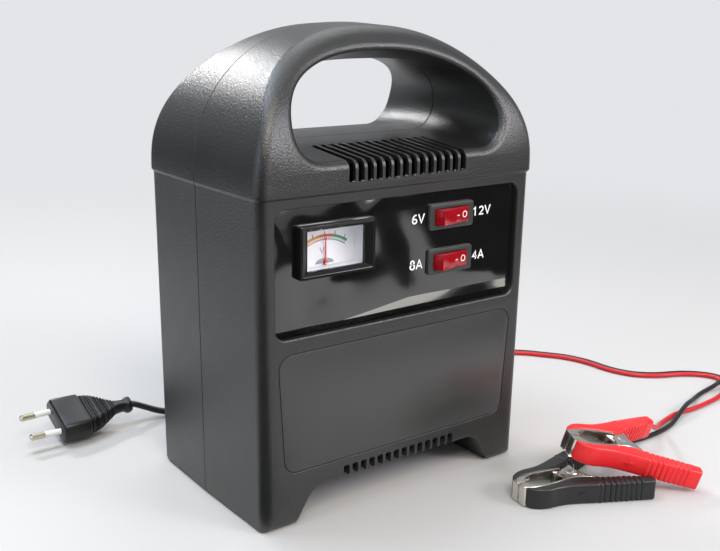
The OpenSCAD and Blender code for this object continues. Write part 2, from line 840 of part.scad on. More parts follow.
module rectifier_diodes() {
    color([0.55, 0.55, 0.56])
        for (x = [-18, 18])
            translate([x, heatsink_y, heatsink_z])
                rotate([90, 0, 0])
                    rotate_extrude($fn = 32)
                        polygon([
                            [0, 0], [diode_r, 0], [diode_r, diode_h - 2], [diode_r - 1.4, diode_h], [1, diode_h],
                            [0.8, diode_h + 9], [0, diode_h + 9]
                        ]);
}

module heatsink_screws() { post_screws(heatsink_screws_at, heatsink_y); }

cutout_w = 14;

// Self-resetting thermal cut-out on the back wall, with two tabs.
module thermal_cutout() {
    color([0.15, 0.15, 0.16])
        translate([0, 0, outlet_z - 3]) {
            translate([-cutout_w / 2, rear_inner_y - 8, -7]) cube([cutout_w, 8, 14]);
            for (x = [-4, 4]) translate([x - 0.4, rear_inner_y - 15, -2.4]) cube([0.8, 7 + eps, 4.8]);
        }
}

// ---- Strain reliefs ------------------------------------------------------------------

relief_y1 = rear_y + relief_l;

// Bush that grips the shell wall and tapers out over the cord, with bend grooves.
module strain_relief(x, tip_r) {
    l = relief_y1 - rear_y;
    step = l / 6;
    color([0.08, 0.08, 0.08])
        translate([x, rear_y - shoulder_step, outlet_z])
            rotate([-90, 0, 0])
                rotate_extrude($fn = 32)
                    polygon(concat(
                        [
                            [0, -wall - 3], [outlet_r - 1, -wall - 3], [outlet_r + 1.4, -wall - 0.8],
                            [outlet_r + 1.4, -wall], [outlet_r - 0.1, -wall], [outlet_r - 0.1, 0],
                            [outlet_r + 2, 0], [outlet_r + 2, 2]
                        ],
                        [for (k = [1:5], h = [0, 1, 2, 3])
                            let (r = outlet_r + (tip_r - outlet_r) * k / 6)
                            [
                                h == 0 || h == 3 ? r : r - 0.9,
                                shoulder_step + step * k + [-0.9, -0.6, 0.6, 0.9][h]
                            ]
                        ],
                        [[tip_r, shoulder_step + l], [0, shoulder_step + l]]
                    ));
}

module mains_strain_relief() { strain_relief(mains_x, 3.6); }
module dc_strain_relief() { strain_relief(dc_x, 3.9); }

// ---- Cord sweeps -----------------------------------------------------------------------

function unit(v) = v / norm(v);

// Direction of travel at each point of a route, with set directions at its two ends.
function headings(path, first, last) =
    let (n = len(path))
    [for (i = [0:n - 1]) i == 0 ? unit(first) : i == n - 1 ? unit(last) : unit(path[i + 1] - path[i - 1])];

// A flat cord keeps its broad side level: across is level, over is square to both.
function cord_ring(p, t, w, h, sides) =
    let (
        across = unit([t[1], -t[0], 0]),
        over = cross(across, t),
        full = 1 / cos(180 / sides),
        high = sides == 6 ? 1 : full
    )
    [for (k = [0:sides - 1])
        let (a = 360 * (k + 0.5) / sides)
        p + across * (w / 2 * full * cos(a)) + over * (h / 2 * high * sin(a))
    ];

module swept(rings) {
    n = len(rings[0]);
    m = len(rings);
    polyhedron(
        points = [for (ring = rings) each ring],
        faces = concat(
            [[for (i = [n - 1:-1:0]) i]],
            [for (k = [0:m - 2], i = [0:n - 1], h = [0, 1])
                let (j = (i + 1) % n, a = k * n, b = a + n)
                h == 0 ? [a + i, a + j, b + j] : [a + i, b + j, b + i]
            ],
            [[for (i = [0:n - 1]) (m - 1) * n + i]]
        ),
        convexity = 10
    );
}

module cord(path, first, last, w, h, sides = 8) {
    dirs = headings(path, first, last);
    swept([for (i = [0:len(path) - 1]) cord_ring(path[i], dirs[i], w, h, sides)]);
}

// ---- Coils -------------------------------------------------------------------------------

coil_steps = 24;
coil_air = 0.6;

// Radius of a two-layer coil after s turns: in by t turns, half a turn more while it
// climbs, then out again, at first faster so that it clears the climb.
function coil_radius(s, t, r_out, pitch) =
    let (u = s - t - 0.5)
    u < 0 ? r_out - pitch * s : r_out - pitch * (t + 0.5) + pitch * min(u * 2.5, u + 0.87);

// Centre line of the coil, with one cord width straight at its start and at its end.
function coil_line(centre, r_out, turns, w, h, a0, dir) =
    let (
        pitch = w + coil_air,
        lift = h + coil_air,
        t = (turns - 0.5) / 2,
        steps = round(turns * coil_steps),
        loops = [for (i = [0:steps])
            let (
                s = turns * i / steps,
                r = coil_radius(s, t, r_out, pitch),
                c = min(1, max(0, (s - t) / 0.5)),
                a = a0 + dir * 360 * s
            )
            [centre[0] + r * cos(a), centre[1] + r * sin(a), h / 2 + lift * c * c * (3 - 2 * c)]
        ],
        a1 = a0 + dir * 360 * turns,
        t0 = [-sin(a0), cos(a0), 0] * dir,
        t1 = [-sin(a1), cos(a1), 0] * dir
    )
    concat([loops[0] - t0 * w], loops, [loops[steps] + t1 * w]);

// Smallest clear distance between loops of a flat cord, sampled point by point.
function self_gap(path, w, h, skip) =
    min([for (i = [0:2:len(path) - 1], j = [i + skip:1:len(path) - 1])
        let (d = path[j] - path[i])
        max(norm([d[0], d[1]]) - w, abs(d[2]) - h)
    ]);

mains_coil_at = [24, 142];
mains_line = coil_line(mains_coil_at, 40, 5.75, mains_cord_w, mains_cord_t, 180, -1);
dc_coil_at = [316, -106];
dc_line = coil_line(dc_coil_at, 40, 4.65, dc_lead_w, dc_lead_t, 216, 1);
echo(mains_coil_gap = self_gap(mains_line, mains_cord_w, mains_cord_t, 14));
echo(dc_coil_gap = self_gap(dc_line, dc_lead_w, dc_lead_t, 14));

function last_of(list) = list[len(list) - 1];

module wound(line, w, h) {
    n = len(line);
    dirs = headings(line, line[1] - line[0], line[n - 1] - line[n - 2]);
    swept([for (i = [0:n - 1]) cord_ring(line[i], dirs[i], w, h, 6)]);
}

module mains_coil() {
    color([0.07, 0.07, 0.07]) wound(mains_line, mains_cord_w, mains_cord_t);
}

module dc_coil() {
    color([0.45, 0.05, 0.05]) wound(dc_line, dc_lead_w, dc_lead_t);
}

// ---- Free stretches of cord ---------------------------------------------------------------

mains_points = [
    [-50, 93, 33.2], [-49, 101, 28.6], [-46, 109, 20.5], [-41, 116.5, 11.5], [-33.5, 122, 4.8],
    [-25, 126, 2.2], [-18.6, 130.8, 1.7]
];
mains_end_points = [
    [5, 102.4, 4.6], [-9, 103.6, 2.8], [-24, 105.6, 1.8], [-39, 108, 1.7], [-52, 110.4, 2],
    [-63, 112.6, 4.6], [-72.5, 114.2, 9]
];

module mains_cord() {
    color([0.07, 0.07, 0.07])
        cord(
            concat([[mains_x, relief_y1, outlet_z]], mains_points, [mains_line[0]]),
            [0, 1, 0], mains_line[1] - mains_line[0], mains_cord_w, mains_cord_t
        );
}

plug_centre = [-129.4, 114.9, 12.4];
plug_roll = 20.5;
plug_l = plug_block_l + plug_neck_l;
plug_tail = plug_centre + [plug_l, 0, 0];

module mains_cord_end() {
    color([0.07, 0.07, 0.07])
        cord(
            concat([last_of(mains_line)], mains_end_points, [plug_tail]),
            last_of(mains_line) - mains_line[len(mains_line) - 2], [-1, 0, 0], mains_cord_w, mains_cord_t
        );
}

dc_points = [
    [55.3, 94, 33.4], [57.4, 102, 28.5], [62, 110, 20], [70, 116.5, 11], [82, 121, 4.6], [97, 122.5, 2],
    [118, 119.5, 1.6], [141, 112, 1.6], [164, 102.5, 1.6], [186, 91, 1.6], [205, 79, 1.6], [221, 66.6, 1.6],
    [230.5, 55, 1.6], [240.5, 41, 1.6], [246, 24, 1.6], [247.6, 4, 1.6], [254, -12, 1.6],
    [267, -23.4, 1.6], [283.7, -31, 1.6], [295.5, -41, 1.6], [300, -51, 1.6], [296.5, -60, 1.6],
    [288, -69, 1.6], [279, -80, 1.6], [273, -94, 1.6], [272, -109, 1.6]
];

module dc_lead() {
    color([0.45, 0.05, 0.05])
        cord(
            concat([[dc_x, relief_y1, outlet_z]], dc_points, [dc_line[0]]),
            [0, 1, 0], dc_line[1] - dc_line[0], dc_lead_w, dc_lead_t
        );
}

black_points = [
    [303, -64, 5.2], [296, -63, 5.2], [288, -62, 4.4], [280, -61.8, 2.4], [271, -62.4, 1.5],
    [262, -64, 1.5], [252, -67, 1.8], [243, -70.6, 3], [235, -73.8, 4.4], [227.5, -76.6, 4.8],
    [220, -79.4, 4.5], [211, -82.4, 2.6], [200, -86, 1.5], [188, -88.6, 1.5], [175, -89.4, 1.5],
    [162, -88.8, 1.6], [150, -87.2, 2.6], [140, -85.2, 4.4]
];
red_points = [
    [303, -67.4, 5.2], [296, -69.1, 5.2], [288, -71.6, 5.2], [279, -73.4, 4.8], [270, -74.8, 2.4],
    [261, -75.8, 1.5], [251.5, -76.8, 1.5], [242.5, -77.4, 1.5], [233.5, -77.8, 1.5],
    [225, -77, 1.5], [216, -77, 1.5], [207, -78.6, 1.5], [199, -80.6, 1.8], [191, -83.8, 3],
    [183.5, -88, 5], [177, -92, 7.4], [171, -95.4, 9.8]
];

half_clamp = clamp_w / 2;
handle_x0 = 34;
handle_y0 = 18.6;
handle_l = 37;
black_at = [45.7, -103.7, half_clamp];
black_turn = [0, 0, -8.8];
red_at = [81.5, -104.7, 26.1];
red_turn = [9.8, 11.9, -17.5];
red_plastic = [0.8, 0.08, 0.07];
black_plastic = [0.07, 0.07, 0.07];

// Turns a direction or a point by the angles of rotate().
function turned(p, t) =
    let (
        a = [p[0], p[1] * cos(t[0]) - p[2] * sin(t[0]), p[1] * sin(t[0]) + p[2] * cos(t[0])],
        b = [a[0] * cos(t[1]) + a[2] * sin(t[1]), a[1], a[2] * cos(t[1]) - a[0] * sin(t[1])]
    )
    [b[0] * cos(t[2]) - b[1] * sin(t[2]), b[0] * sin(t[2]) + b[1] * cos(t[2]), b[2]];

// Start of one single lead where the twin lead divides, on side s of its middle.
function lead_split(s) =
    let (n = len(dc_line), t = unit(dc_line[n - 1] - dc_line[n - 2]))
    dc_line[n - 1] + s * (single_d / 2 + 0.05) * [t[1], -t[0], 0];

lead_gap = 0.95;
handle_mid = on_handle(handle_l + lead_gap, 3);
handle_dir = [cos(clamp_splay), sin(clamp_splay), 0];

module single_lead(side, points, at, turn) {
    cord(
        concat([lead_split(side)], points, [at + turned([handle_mid[0], handle_mid[1], 0], turn)]),
        last_of(dc_line) - dc_line[len(dc_line) - 2], -turned(handle_dir, turn), single_d, single_d, 8
    );
}

module red_lead() {
    color(red_plastic) single_lead(-1, red_points, red_at, red_turn);
}

module black_lead() {
    color(black_plastic) single_lead(1, black_points, black_at, black_turn);
}

// ---- Plug -----------------------------------------------------------------------------------

// Rounded six-sided section of the plug, half width a and half thickness b.
function plug_section(x, a, b) =
    let (flat = a - b * 0.62, edge = flat + b * 0.28)
    [for (q = [
        [a, 0], [a * 0.985, -b * 0.3], [edge, -b * 0.82], [flat, -b], [-flat, -b], [-edge, -b * 0.82],
        [-a * 0.985, -b * 0.3], [-a, 0], [-a * 0.985, b * 0.3], [-edge, b * 0.82], [-flat, b], [flat, b],
        [edge, b * 0.82], [a * 0.985, b * 0.3]
    ]) [x, q[0], q[1]]];

module place_plug() {
    translate(plug_centre) rotate([plug_roll, 0, 0]) children();
}

module plug_body() {
    a = plug_w / 2;
    b = plug_t / 2;
    k = plug_block_l;
    l = plug_l;
    ribs = [for (i = [0:3], h = [0, 1, 2, 3])
        let (x = k + 9 + i * 5, s = 1 - i * 0.07)
        [x + [0, 0.3, 2.1, 2.4][h], (h == 0 || h == 3 ? 6.4 : 5.3) * s, (h == 0 || h == 3 ? 5.2 : 4.2) * s]
    ];
    sections = concat(
        [[0, a - 1.2, b - 1], [1, a, b], [k - 3, a - 0.4, b], [k, a - 2.4, b - 0.5], [k + 5, 8.6, b - 1.1]],
        ribs,
        [[l - 3.4, 4.4, 3.6], [l - 1.6, 5, 4.3], [l, 4.6, 4]]
    );
    color([0.06, 0.06, 0.06]) place_plug() swept([for (s = sections) plug_section(s[0], s[1], s[2])]);
}

pin_lean = 1.65;
pin_core_r = 1.5;

module at_pins() {
    for (s = [-1, 1]) translate([0, s * pin_spacing / 2, 0]) rotate([0, 0, s * pin_lean]) children();
}

module plug_pins() {
    color([0.8, 0.78, 0.72])
        place_plug() at_pins()
            rotate([0, -90, 0])
                rotate_extrude($fn = 32)
                    polygon([
                        [0, 0.3], [pin_core_r, 0.3], [pin_core_r, sleeve_l], [pin_d / 2, sleeve_l],
                        [pin_d / 2, pin_l - 1.2], [pin_d / 2 - 1, pin_l], [0, pin_l]
                    ]);
}

sleeve_r = pin_d / 2 - 0.2;
module plug_sleeves() {
    color([0.92, 0.92, 0.9])
        place_plug() at_pins()
            rotate([0, -90, 0])
                rotate_extrude($fn = 32)
                    polygon([
                        [pin_core_r, 0.3], [sleeve_r, 0.3], [sleeve_r, sleeve_l], [pin_core_r, sleeve_l]
                    ]);
}

// ---- Clamps ---------------------------------------------------------------------------------
// Each clamp is drawn with its jaw tips at the origin, the handles towards +X, and its pivot
// along Z. The far arm has y > 0; the near arm is its mirror image.

// Point on the handle: u along its slightly crowned outer edge, v inwards from it.
function on_handle(u, v) =
    let (w = v - 0.4 * (1 - pow((u - handle_l / 2) / (handle_l / 2), 2)))
    [
        handle_x0 + u * cos(clamp_splay) + w * sin(clamp_splay),
        handle_y0 + u * sin(clamp_splay) - w * cos(clamp_splay)
    ];

rib_pitch = 3.1;
rib_depth = 0.9;

// Outer edge of a grip from the tip to the tail, with V-grooves across the handle.
grip_outer = concat(
    [[-0.6, 5.7], [1.6, 9.4], [5.5, 12.1], [10, 13.5], [15, 13.6], [21, 14.3], [28, 16.4]],
    [on_handle(0, 0), on_handle(1.5, -0.7), on_handle(3.2, -0.6), on_handle(5, 0.1)],
    [for (i = [0:5], h = [0, 1, 2]) on_handle(10.5 + i * rib_pitch + 0.8 * h, h == 1 ? rib_depth : 0)],
    [on_handle(handle_l - 4, 0), on_handle(handle_l - 1.2, 0.1), on_handle(handle_l, 1.3)]
);

// Inner edge of a grip: the part against its jaw, from the tip, and the part behind it.
jaw_back = [[0.8, 5.6], [4, 7.4], [12, 7.9], [20, 7.7], [26, 6.9], [31, 6.6], [36.5, 8.2], [41, 10.6]];
grip_inner = [[71.4, 23.6], [66, 21.2], [60, 18.4], [52, 15.2], [46, 13]];

// A grip: one outline carried along the pivot.
module grip() {
    translate([0, 0, -half_clamp])
        linear_extrude(clamp_w)
            polygon(concat(grip_outer, grip_inner, [for (i = [len(jaw_back) - 1:-1:0]) jaw_back[i]]));
}

pin_r = clamp_pin_d / 2;
ear_r = 4.6;
outer_ear_z = half_clamp - 0.6;
inner_ear_z = outer_ear_z - jaw_t - run_gap;

// Steel jaw: a bent strip inside the grip, with two ears on the pivot pin.
module jaw(ear_z, bore_r) {
    strip = [for (i = [0:5]) jaw_back[i]];
    inner = [[31, 5.4], [26, 5.7], [20, 6.4], [12, 6.6], [7.4, 5.4], [5, 3], [3.6, 0.25], [-0.8, 0.25]];
    translate([0, 0, -outer_ear_z])
        linear_extrude(2 * outer_ear_z) polygon(concat([[-1.4, 5]], strip, inner, [[-1.6, 1.2]]));
    for (z = [-ear_z, ear_z - jaw_t])
        translate([0, 0, z])
            linear_extrude(jaw_t)
                difference() {
                    union() {
                        translate([clamp_pivot, 0]) circle(ear_r, $fn = 32);
                        polygon([
                            jaw_back[4], jaw_back[5], jaw_back[6], jaw_back[7], [40, 6], [clamp_pivot + ear_r, 0],
                            [clamp_pivot - ear_r, 0], [26.5, 4.5]
                        ]);
                    }
                    translate([clamp_pivot, 0]) circle(bore_r, $fn = 32);
                }
}

module far_arm() { children(); }
module near_arm() { mirror([0, 1, 0]) children(); }

module pivot_pin() {
    color([0.75, 0.75, 0.74])
        translate([clamp_pivot, 0, 0])
            rotate_extrude($fn = 32)
                polygon([
                    [0, -half_clamp], [pin_r + 0.9, -half_clamp], [pin_r + 1.2, -outer_ear_z],
                    [pin_r, -outer_ear_z], [pin_r, outer_ear_z], [pin_r + 1.2, outer_ear_z],
                    [pin_r + 0.9, half_clamp], [0, half_clamp]
                ]);
}

spring_wire = 0.9;
spring_r = pin_r + 1.1;
spring_pitch = spring_wire + 0.45;
spring_steps = 8;
spring_leg = [13, 12];

// Torsion spring: 2.8 curls round the pin, and two straight legs that press the handles apart.
function spring_line() =
    let (
        leg = norm(spring_leg),
        a0 = acos(spring_r / leg) - atan2(spring_leg[1], spring_leg[0]),
        turns = 3 - 2 * a0 / 360,
        steps = round(turns * spring_steps),
        z0 = -spring_pitch * turns / 2
    )
    concat(
        [[clamp_pivot + spring_leg[0], -spring_leg[1], z0]],
        [for (i = [0:steps])
            let (s = turns * i / steps, a = a0 + s * 360)
            [clamp_pivot + spring_r * cos(a), spring_r * sin(a), z0 + s * spring_pitch]
        ],
        [[clamp_pivot + spring_leg[0], spring_leg[1], -z0]]
    );

// Rings round the wire, square to it, each turned to stand up along the pivot.
function wire_rings(line, wire) =
    let (n = len(line), dirs = headings(line, line[1] - line[0], line[n - 1] - line[n - 2]))
    [for (i = [0:n - 1])
        let (side = unit(cross(dirs[i], [0, 0, 1])), up = cross(side, dirs[i]))
        [for (k = [0:5]) line[i] + wire / 2 * (side * cos(60 * k) + up * sin(60 * k))]
    ];

module spring() {
    color([0.7, 0.7, 0.68]) swept(wire_rings(spring_line(), spring_wire));
}

module place_black() { translate(black_at) rotate(black_turn) children(); }
module place_red() { translate(red_at) rotate(red_turn) children(); }

plated = [0.78, 0.77, 0.74];

module red_near_grip() { color(red_plastic) place_red() near_arm() grip(); }
module red_far_grip() { color(red_plastic) place_red() far_arm() grip(); }
module red_near_jaw() { color(plated) place_red() near_arm() jaw(outer_ear_z, pin_r); }
module red_far_jaw() { color(plated) place_red() far_arm() jaw(inner_ear_z, pin_r + fit_gap); }
module red_pivot_pin() { place_red() pivot_pin(); }
module red_spring() { place_red() spring(); }
module black_near_grip() { color(black_plastic) place_black() near_arm() grip(); }
module black_far_grip() { color(black_plastic) place_black() far_arm() grip(); }
module black_near_jaw() { color(plated) place_black() near_arm() jaw(outer_ear_z, pin_r); }
module black_far_jaw() { color(plated) place_black() far_arm() jaw(inner_ear_z, pin_r + fit_gap); }
module black_pivot_pin() { place_black() pivot_pin(); }
module black_spring() { place_black() spring(); }

// ---- Assembly ---------------------------------------------------------------------------------

front_shell();
rear_shell();
housing_screws();
control_fascia();
label_plate();
meter_bezel();
meter_window();
meter_case();
meter_dial();
meter_movement();
meter_needle();
voltage_switch_body();
voltage_rocker();
voltage_switch_terminals();
current_switch_body();
current_rocker();
current_switch_terminals();
transformer_core();
transformer_bobbin();
primary_winding();
secondary_winding();
transformer_bracket();
transformer_screws();
heatsink_plate();
rectifier_diodes();
heatsink_screws();
thermal_cutout();
mains_strain_relief();
dc_strain_relief();
mains_cord();
mains_coil();
mains_cord_end();
plug_body();
plug_sleeves();
plug_pins();
dc_lead();
dc_coil();
red_lead();
black_lead();
red_near_grip();
red_far_grip();
red_near_jaw();
red_far_jaw();
red_pivot_pin();
red_spring();
black_near_grip();
black_far_grip();
black_near_jaw();
black_far_jaw();
black_pivot_pin();
black_spring();
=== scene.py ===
"""A car battery charger: moulded housing with a hand opening, meter panel, plug and two clamps.

Every size below is in millimetres in the shared frame; meshes are written in metres.
"""

from __future__ import annotations

import json
import logging
import math
from collections.abc import Callable, Sequence
from dataclasses import dataclass, field
from enum import Enum
from functools import cache

import bmesh
import bpy
import numpy as np
from mathutils import Matrix, Vector

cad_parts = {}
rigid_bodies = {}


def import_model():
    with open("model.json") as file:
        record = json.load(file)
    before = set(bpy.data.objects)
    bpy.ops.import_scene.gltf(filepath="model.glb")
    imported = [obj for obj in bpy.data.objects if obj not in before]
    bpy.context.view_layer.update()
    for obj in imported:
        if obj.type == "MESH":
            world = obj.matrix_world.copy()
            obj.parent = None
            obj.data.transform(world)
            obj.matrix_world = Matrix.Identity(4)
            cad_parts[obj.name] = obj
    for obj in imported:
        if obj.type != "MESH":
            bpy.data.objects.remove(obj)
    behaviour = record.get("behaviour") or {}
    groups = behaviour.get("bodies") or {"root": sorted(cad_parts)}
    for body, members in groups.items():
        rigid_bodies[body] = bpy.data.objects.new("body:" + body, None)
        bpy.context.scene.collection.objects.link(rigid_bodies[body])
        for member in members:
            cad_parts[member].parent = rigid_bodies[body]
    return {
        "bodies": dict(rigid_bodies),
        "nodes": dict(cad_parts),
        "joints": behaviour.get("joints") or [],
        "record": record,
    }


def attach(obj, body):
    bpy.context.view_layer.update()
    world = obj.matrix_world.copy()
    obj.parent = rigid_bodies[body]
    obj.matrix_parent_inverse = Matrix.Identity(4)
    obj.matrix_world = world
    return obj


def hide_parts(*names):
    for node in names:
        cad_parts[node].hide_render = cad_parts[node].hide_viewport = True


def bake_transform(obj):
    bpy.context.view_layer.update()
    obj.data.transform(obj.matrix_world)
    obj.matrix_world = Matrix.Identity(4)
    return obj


log = logging.getLogger("battery_charger")
MM = 0.001
Array = np.ndarray
Faces = list[list[int]]
Solid = tuple[Array, Faces]
Spot = tuple[float, float]
Place = tuple[float, float, float]
Route = tuple[Place, ...]
Node = bpy.types.Node
Piece = bpy.types.Object
Socket = bpy.types.NodeSocket
Tree = bpy.types.NodeTree

# Places that the housing, the panel and what sits in it share.
PANEL_Z = 133.5
METER_AT = (-43.0, 143.4)
METER_HOLE = (40.4, 24.4)
SWITCH_X = 32.0
VOLTAGE_Z, CURRENT_Z = 151.6, 127.3
SWITCH_HOLE = (27.4, 12.0)
HOLE_CORNER = 0.2


# Finishes


def linear(hex_code: str) -> tuple[float, float, float, float]:
    """Turns an sRGB hex value into linear colour.

    Args:
        hex_code: Six hex digits with a leading hash.

    Returns:
        Linear red, green, blue and an alpha of one.
    """
    raw = [int(hex_code[i : i + 2], 16) / 255 for i in (1, 3, 5)]
    low = [c / 12.92 if c <= 0.04045 else ((c + 0.055) / 1.055) ** 2.4 for c in raw]
    return (low[0], low[1], low[2], 1.0)


def add_node(
    tree: Tree,
    kind: str,
    values: dict[str | int, object] | None = None,
    links: dict[str | int, Socket | Node] | None = None,
    **settings: object,
) -> Node:
    """Adds one node with its socket values, links and settings.

    Args:
        tree: Node tree that gets the node.
        kind: Node type name after ShaderNode.
        values: Default value by input.
        links: What feeds each input: an output, or a node for its first output.
        **settings: Attributes of the node.

    Returns:
        The new node.
    """
    node = tree.nodes.new(f"ShaderNode{kind}")
    for key, value in settings.items():
        setattr(node, key, value)
    for key, value in (values or {}).items():
        node.inputs[key].default_value = value
    for key, source in (links or {}).items():
        tree.links.new(source if isinstance(source, Socket) else source.outputs[0], node.inputs[key])
    return node


def new_material(name: str, values: dict[str, object]) -> tuple[bpy.types.Material, Tree, Node]:
    """Starts a node material and sets the plain inputs of its shader.

    Args:
        name: Name of the material.
        values: Value for each named input.

    Returns:
        The material, its node tree and its shader.
    """
    material = bpy.data.materials.new(name)
    material.use_nodes = True
    tree = material.node_tree
    shader = tree.nodes["Principled BSDF"]
    for key, value in values.items():
        shader.inputs[key].default_value = value
    return material, tree, shader


def per_mm(size: float) -> float:
    """Pattern scale on object coordinates for a feature of the given size in mm."""
    return 1.0 / (size * MM)


@dataclass(frozen=True)
class Finish:
    """A finish with one colour, a gloss and a fine relief; others build on it."""

    name: str
    colour: str
    roughness: float = 0.4
    metallic: float = 0.0
    specular: float = 0.5
    coat: float = 0.0
    coat_roughness: float = 0.05
    grain_mm: float = 0.6
    grain_height: float = 0.0
    shade: float = 0.06
    shade_mm: float = 9.0
    gloss_spread: float = 0.05
    gloss_mm: float = 14.0

    def build(self) -> bpy.types.Material:
        """Makes the material.

        Returns:
            The finished node material.
        """
        values = {
            "Metallic": self.metallic,
            "Specular IOR Level": self.specular,
            "Coat Weight": self.coat,
            "Coat Roughness": self.coat_roughness,
        }
        material, tree, shader = new_material(self.name, values)
        where = add_node(tree, "TexCoord").outputs["Object"]
        tree.links.new(self.colour_of(tree, where), shader.inputs["Base Color"])
        tree.links.new(self.gloss_of(tree, where), shader.inputs["Roughness"])
        relief = self.relief_of(tree, where)
        if relief is not None:
            tree.links.new(relief, shader.inputs["Normal"])
        self.extra(tree, shader, where)
        material.diffuse_color = linear(self.colour)
        return material

    def colour_of(self, tree: Tree, where: Socket) -> Socket:
        """Cloudy change of shade of a few per cent over shade_mm.

        Args:
            tree: The material's nodes.
            where: Object coordinates.

        Returns:
            The colour output.
        """
        cloud = add_node(tree, "TexNoise", {"Scale": per_mm(self.shade_mm), "Detail": 3.0}, {"Vector": where})
        base = linear(self.colour)
        dark = tuple(c * (1 - self.shade) for c in base[:3]) + (1.0,)
        light = tuple(min(1.0, c * (1 + self.shade)) for c in base[:3]) + (1.0,)
        mix = add_node(tree, "Mix", {6: dark, 7: light}, {0: cloud.outputs["Fac"]}, data_type="RGBA")
        return mix.outputs[2]

    def gloss_of(self, tree: Tree, where: Socket) -> Socket:
        """Roughness that wanders by gloss_spread about its middle.

        Args:
            tree: The material's nodes.
            where: Object coordinates.

        Returns:
            The roughness output.
        """
        cloud = add_node(tree, "TexNoise", {"Scale": per_mm(self.gloss_mm), "Detail": 4.0}, {"Vector": where})
        low, high = max(0.02, self.roughness - self.gloss_spread), self.roughness + self.gloss_spread
        return add_node(tree, "MapRange", {"To Min": low, "To Max": high}, {"Value": cloud}).outputs["Result"]

    def relief_of(self, tree: Tree, where: Socket) -> Socket | None:
        """Fine relief of grain_height mm at grain_mm.

        Args:
            tree: The material's nodes.
            where: Object coordinates.

        Returns:
            The normal output, or None for a flat finish.
        """
        if self.grain_height <= 0:
            return None
        size = {"Scale": per_mm(self.grain_mm), "Detail": 2.0, "Roughness": 0.6}
        grain = add_node(tree, "TexNoise", size, {"Vector": where})
        depth = {"Strength": 1.0, "Distance": self.grain_height * MM}
        return add_node(tree, "Bump", depth, {"Height": grain}).outputs["Normal"]

    def extra(self, tree: Tree, shader: Node, where: Socket) -> None:
        """Hook for what a special finish adds to the shader."""


@dataclass(frozen=True)
class MouldedAbs(Finish):
    """Spark-eroded ABS: a pebbled grain of shallow pits that spreads each highlight."""

    rim: float = 0.35

    def relief_of(self, tree: Tree, where: Socket) -> Socket | None:
        """Pebbled cells over fine noise, on edges rounded by rim mm.

        Args:
            tree: The material's nodes.
            where: Object coordinates.

        Returns:
            The normal output.
        """
        size = {"Scale": per_mm(self.grain_mm)}
        cells = add_node(tree, "TexVoronoi", size, {"Vector": where}, feature="SMOOTH_F1")
        fine = add_node(tree, "TexNoise", {"Scale": per_mm(self.grain_mm * 0.6), "Detail": 3.0}, {"Vector": where})
        both = add_node(tree, "Math", {}, {0: cells, 1: fine}, operation="ADD")
        edge = add_node(tree, "Bevel", {"Radius": self.rim * MM}, samples=4)
        depth = {"Strength": 1.0, "Distance": self.grain_height * MM}
        return add_node(tree, "Bump", depth, {"Height": both, "Normal": edge}).outputs["Normal"]


@dataclass(frozen=True)
class GlossFilm(Finish):
    """Polished film on the panel: a mirror skin with slow waves from the glue below.

    Its lower edge lifts off the plate in a low ridge along the height foot, in mm, which starts
    at x_start and wanders up and down by half of wander.
    """

    peel_mm: float = 2.2
    wander: float = 1.6
    wave_mm: float = 52.0
    wave_height: float = 8.0
    foot: float = 105.2
    x_start: float = -38.0
    x_full: float = 5.0
    rise: float = 5.0
    fall: float = 3.5
    slope: float = 0.45

    def relief_of(self, tree: Tree, where: Socket) -> Socket | None:
        """Slow waves with a faint orange peel, and the ridge of the lifted edge.

        Args:
            tree: The material's nodes.
            where: Object coordinates.

        Returns:
            The normal output.
        """
        waves = {"Scale": per_mm(self.wave_mm), "Detail": 1.0, "Distortion": 0.4}
        slow = add_node(tree, "TexNoise", waves, {"Vector": where})
        peel = add_node(tree, "TexNoise", {"Scale": per_mm(self.peel_mm), "Detail": 2.0}, {"Vector": where})
        first = add_node(tree, "Bump", {"Distance": self.wave_height * MM}, {"Height": slow})
        second = add_node(tree, "Bump", {"Distance": self.grain_height * MM}, {"Height": peel, "Normal": first})
        parts = add_node(tree, "SeparateXYZ", {}, {0: where})
        span = {"From Min": self.x_start * MM, "From Max": self.x_full * MM, "To Min": 0.0, "To Max": self.rise * MM}
        reach = add_node(tree, "MapRange", span, {"Value": parts.outputs["X"]})
        offset = {1: self.wander * MM, 2: -(self.foot + self.wander / 2) * MM}
        wander = add_node(tree, "Math", offset, {0: slow}, operation="MULTIPLY_ADD")
        level = add_node(tree, "Math", {}, {0: parts.outputs["Z"], 1: wander}, operation="ADD")
        under = add_node(tree, "Math", {}, {0: level, 1: reach}, operation="MINIMUM")
        over = add_node(tree, "Math", {1: -self.fall * MM}, {0: under}, operation="MAXIMUM")
        ridge = add_node(tree, "Math", {}, {0: over}, operation="ABSOLUTE")
        both = {"Height": ridge, "Normal": second}
        return add_node(tree, "Bump", {"Distance": self.slope}, both, invert=True).outputs["Normal"]


@dataclass(frozen=True)
class LitPlastic(Finish):
    """Translucent coloured polycarbonate: light enters and glows back red from inside."""

    glow: float = 0.35
    depth_mm: float = 1.5

    def extra(self, tree: Tree, shader: Node, where: Socket) -> None:
        """Scattering below the skin and a clear moulded surface.

        Args:
            tree: The material's nodes.
            shader: Its shader.
            where: Object coordinates.
        """
        shader.inputs["Subsurface Weight"].default_value = self.glow
        shader.inputs["Subsurface Scale"].default_value = self.depth_mm * MM
        shader.inputs["Subsurface Radius"].default_value = (1.0, 0.12, 0.08)


@dataclass(frozen=True)
class ClearSheet(Finish):
    """Clear polystyrene sheet: passes light, with a faint mirror on its face."""

    def extra(self, tree: Tree, shader: Node, where: Socket) -> None:
        """Full transmission with the index of polystyrene."""
        shader.inputs["Transmission Weight"].default_value = 1.0
        shader.inputs["IOR"].default_value = 1.1


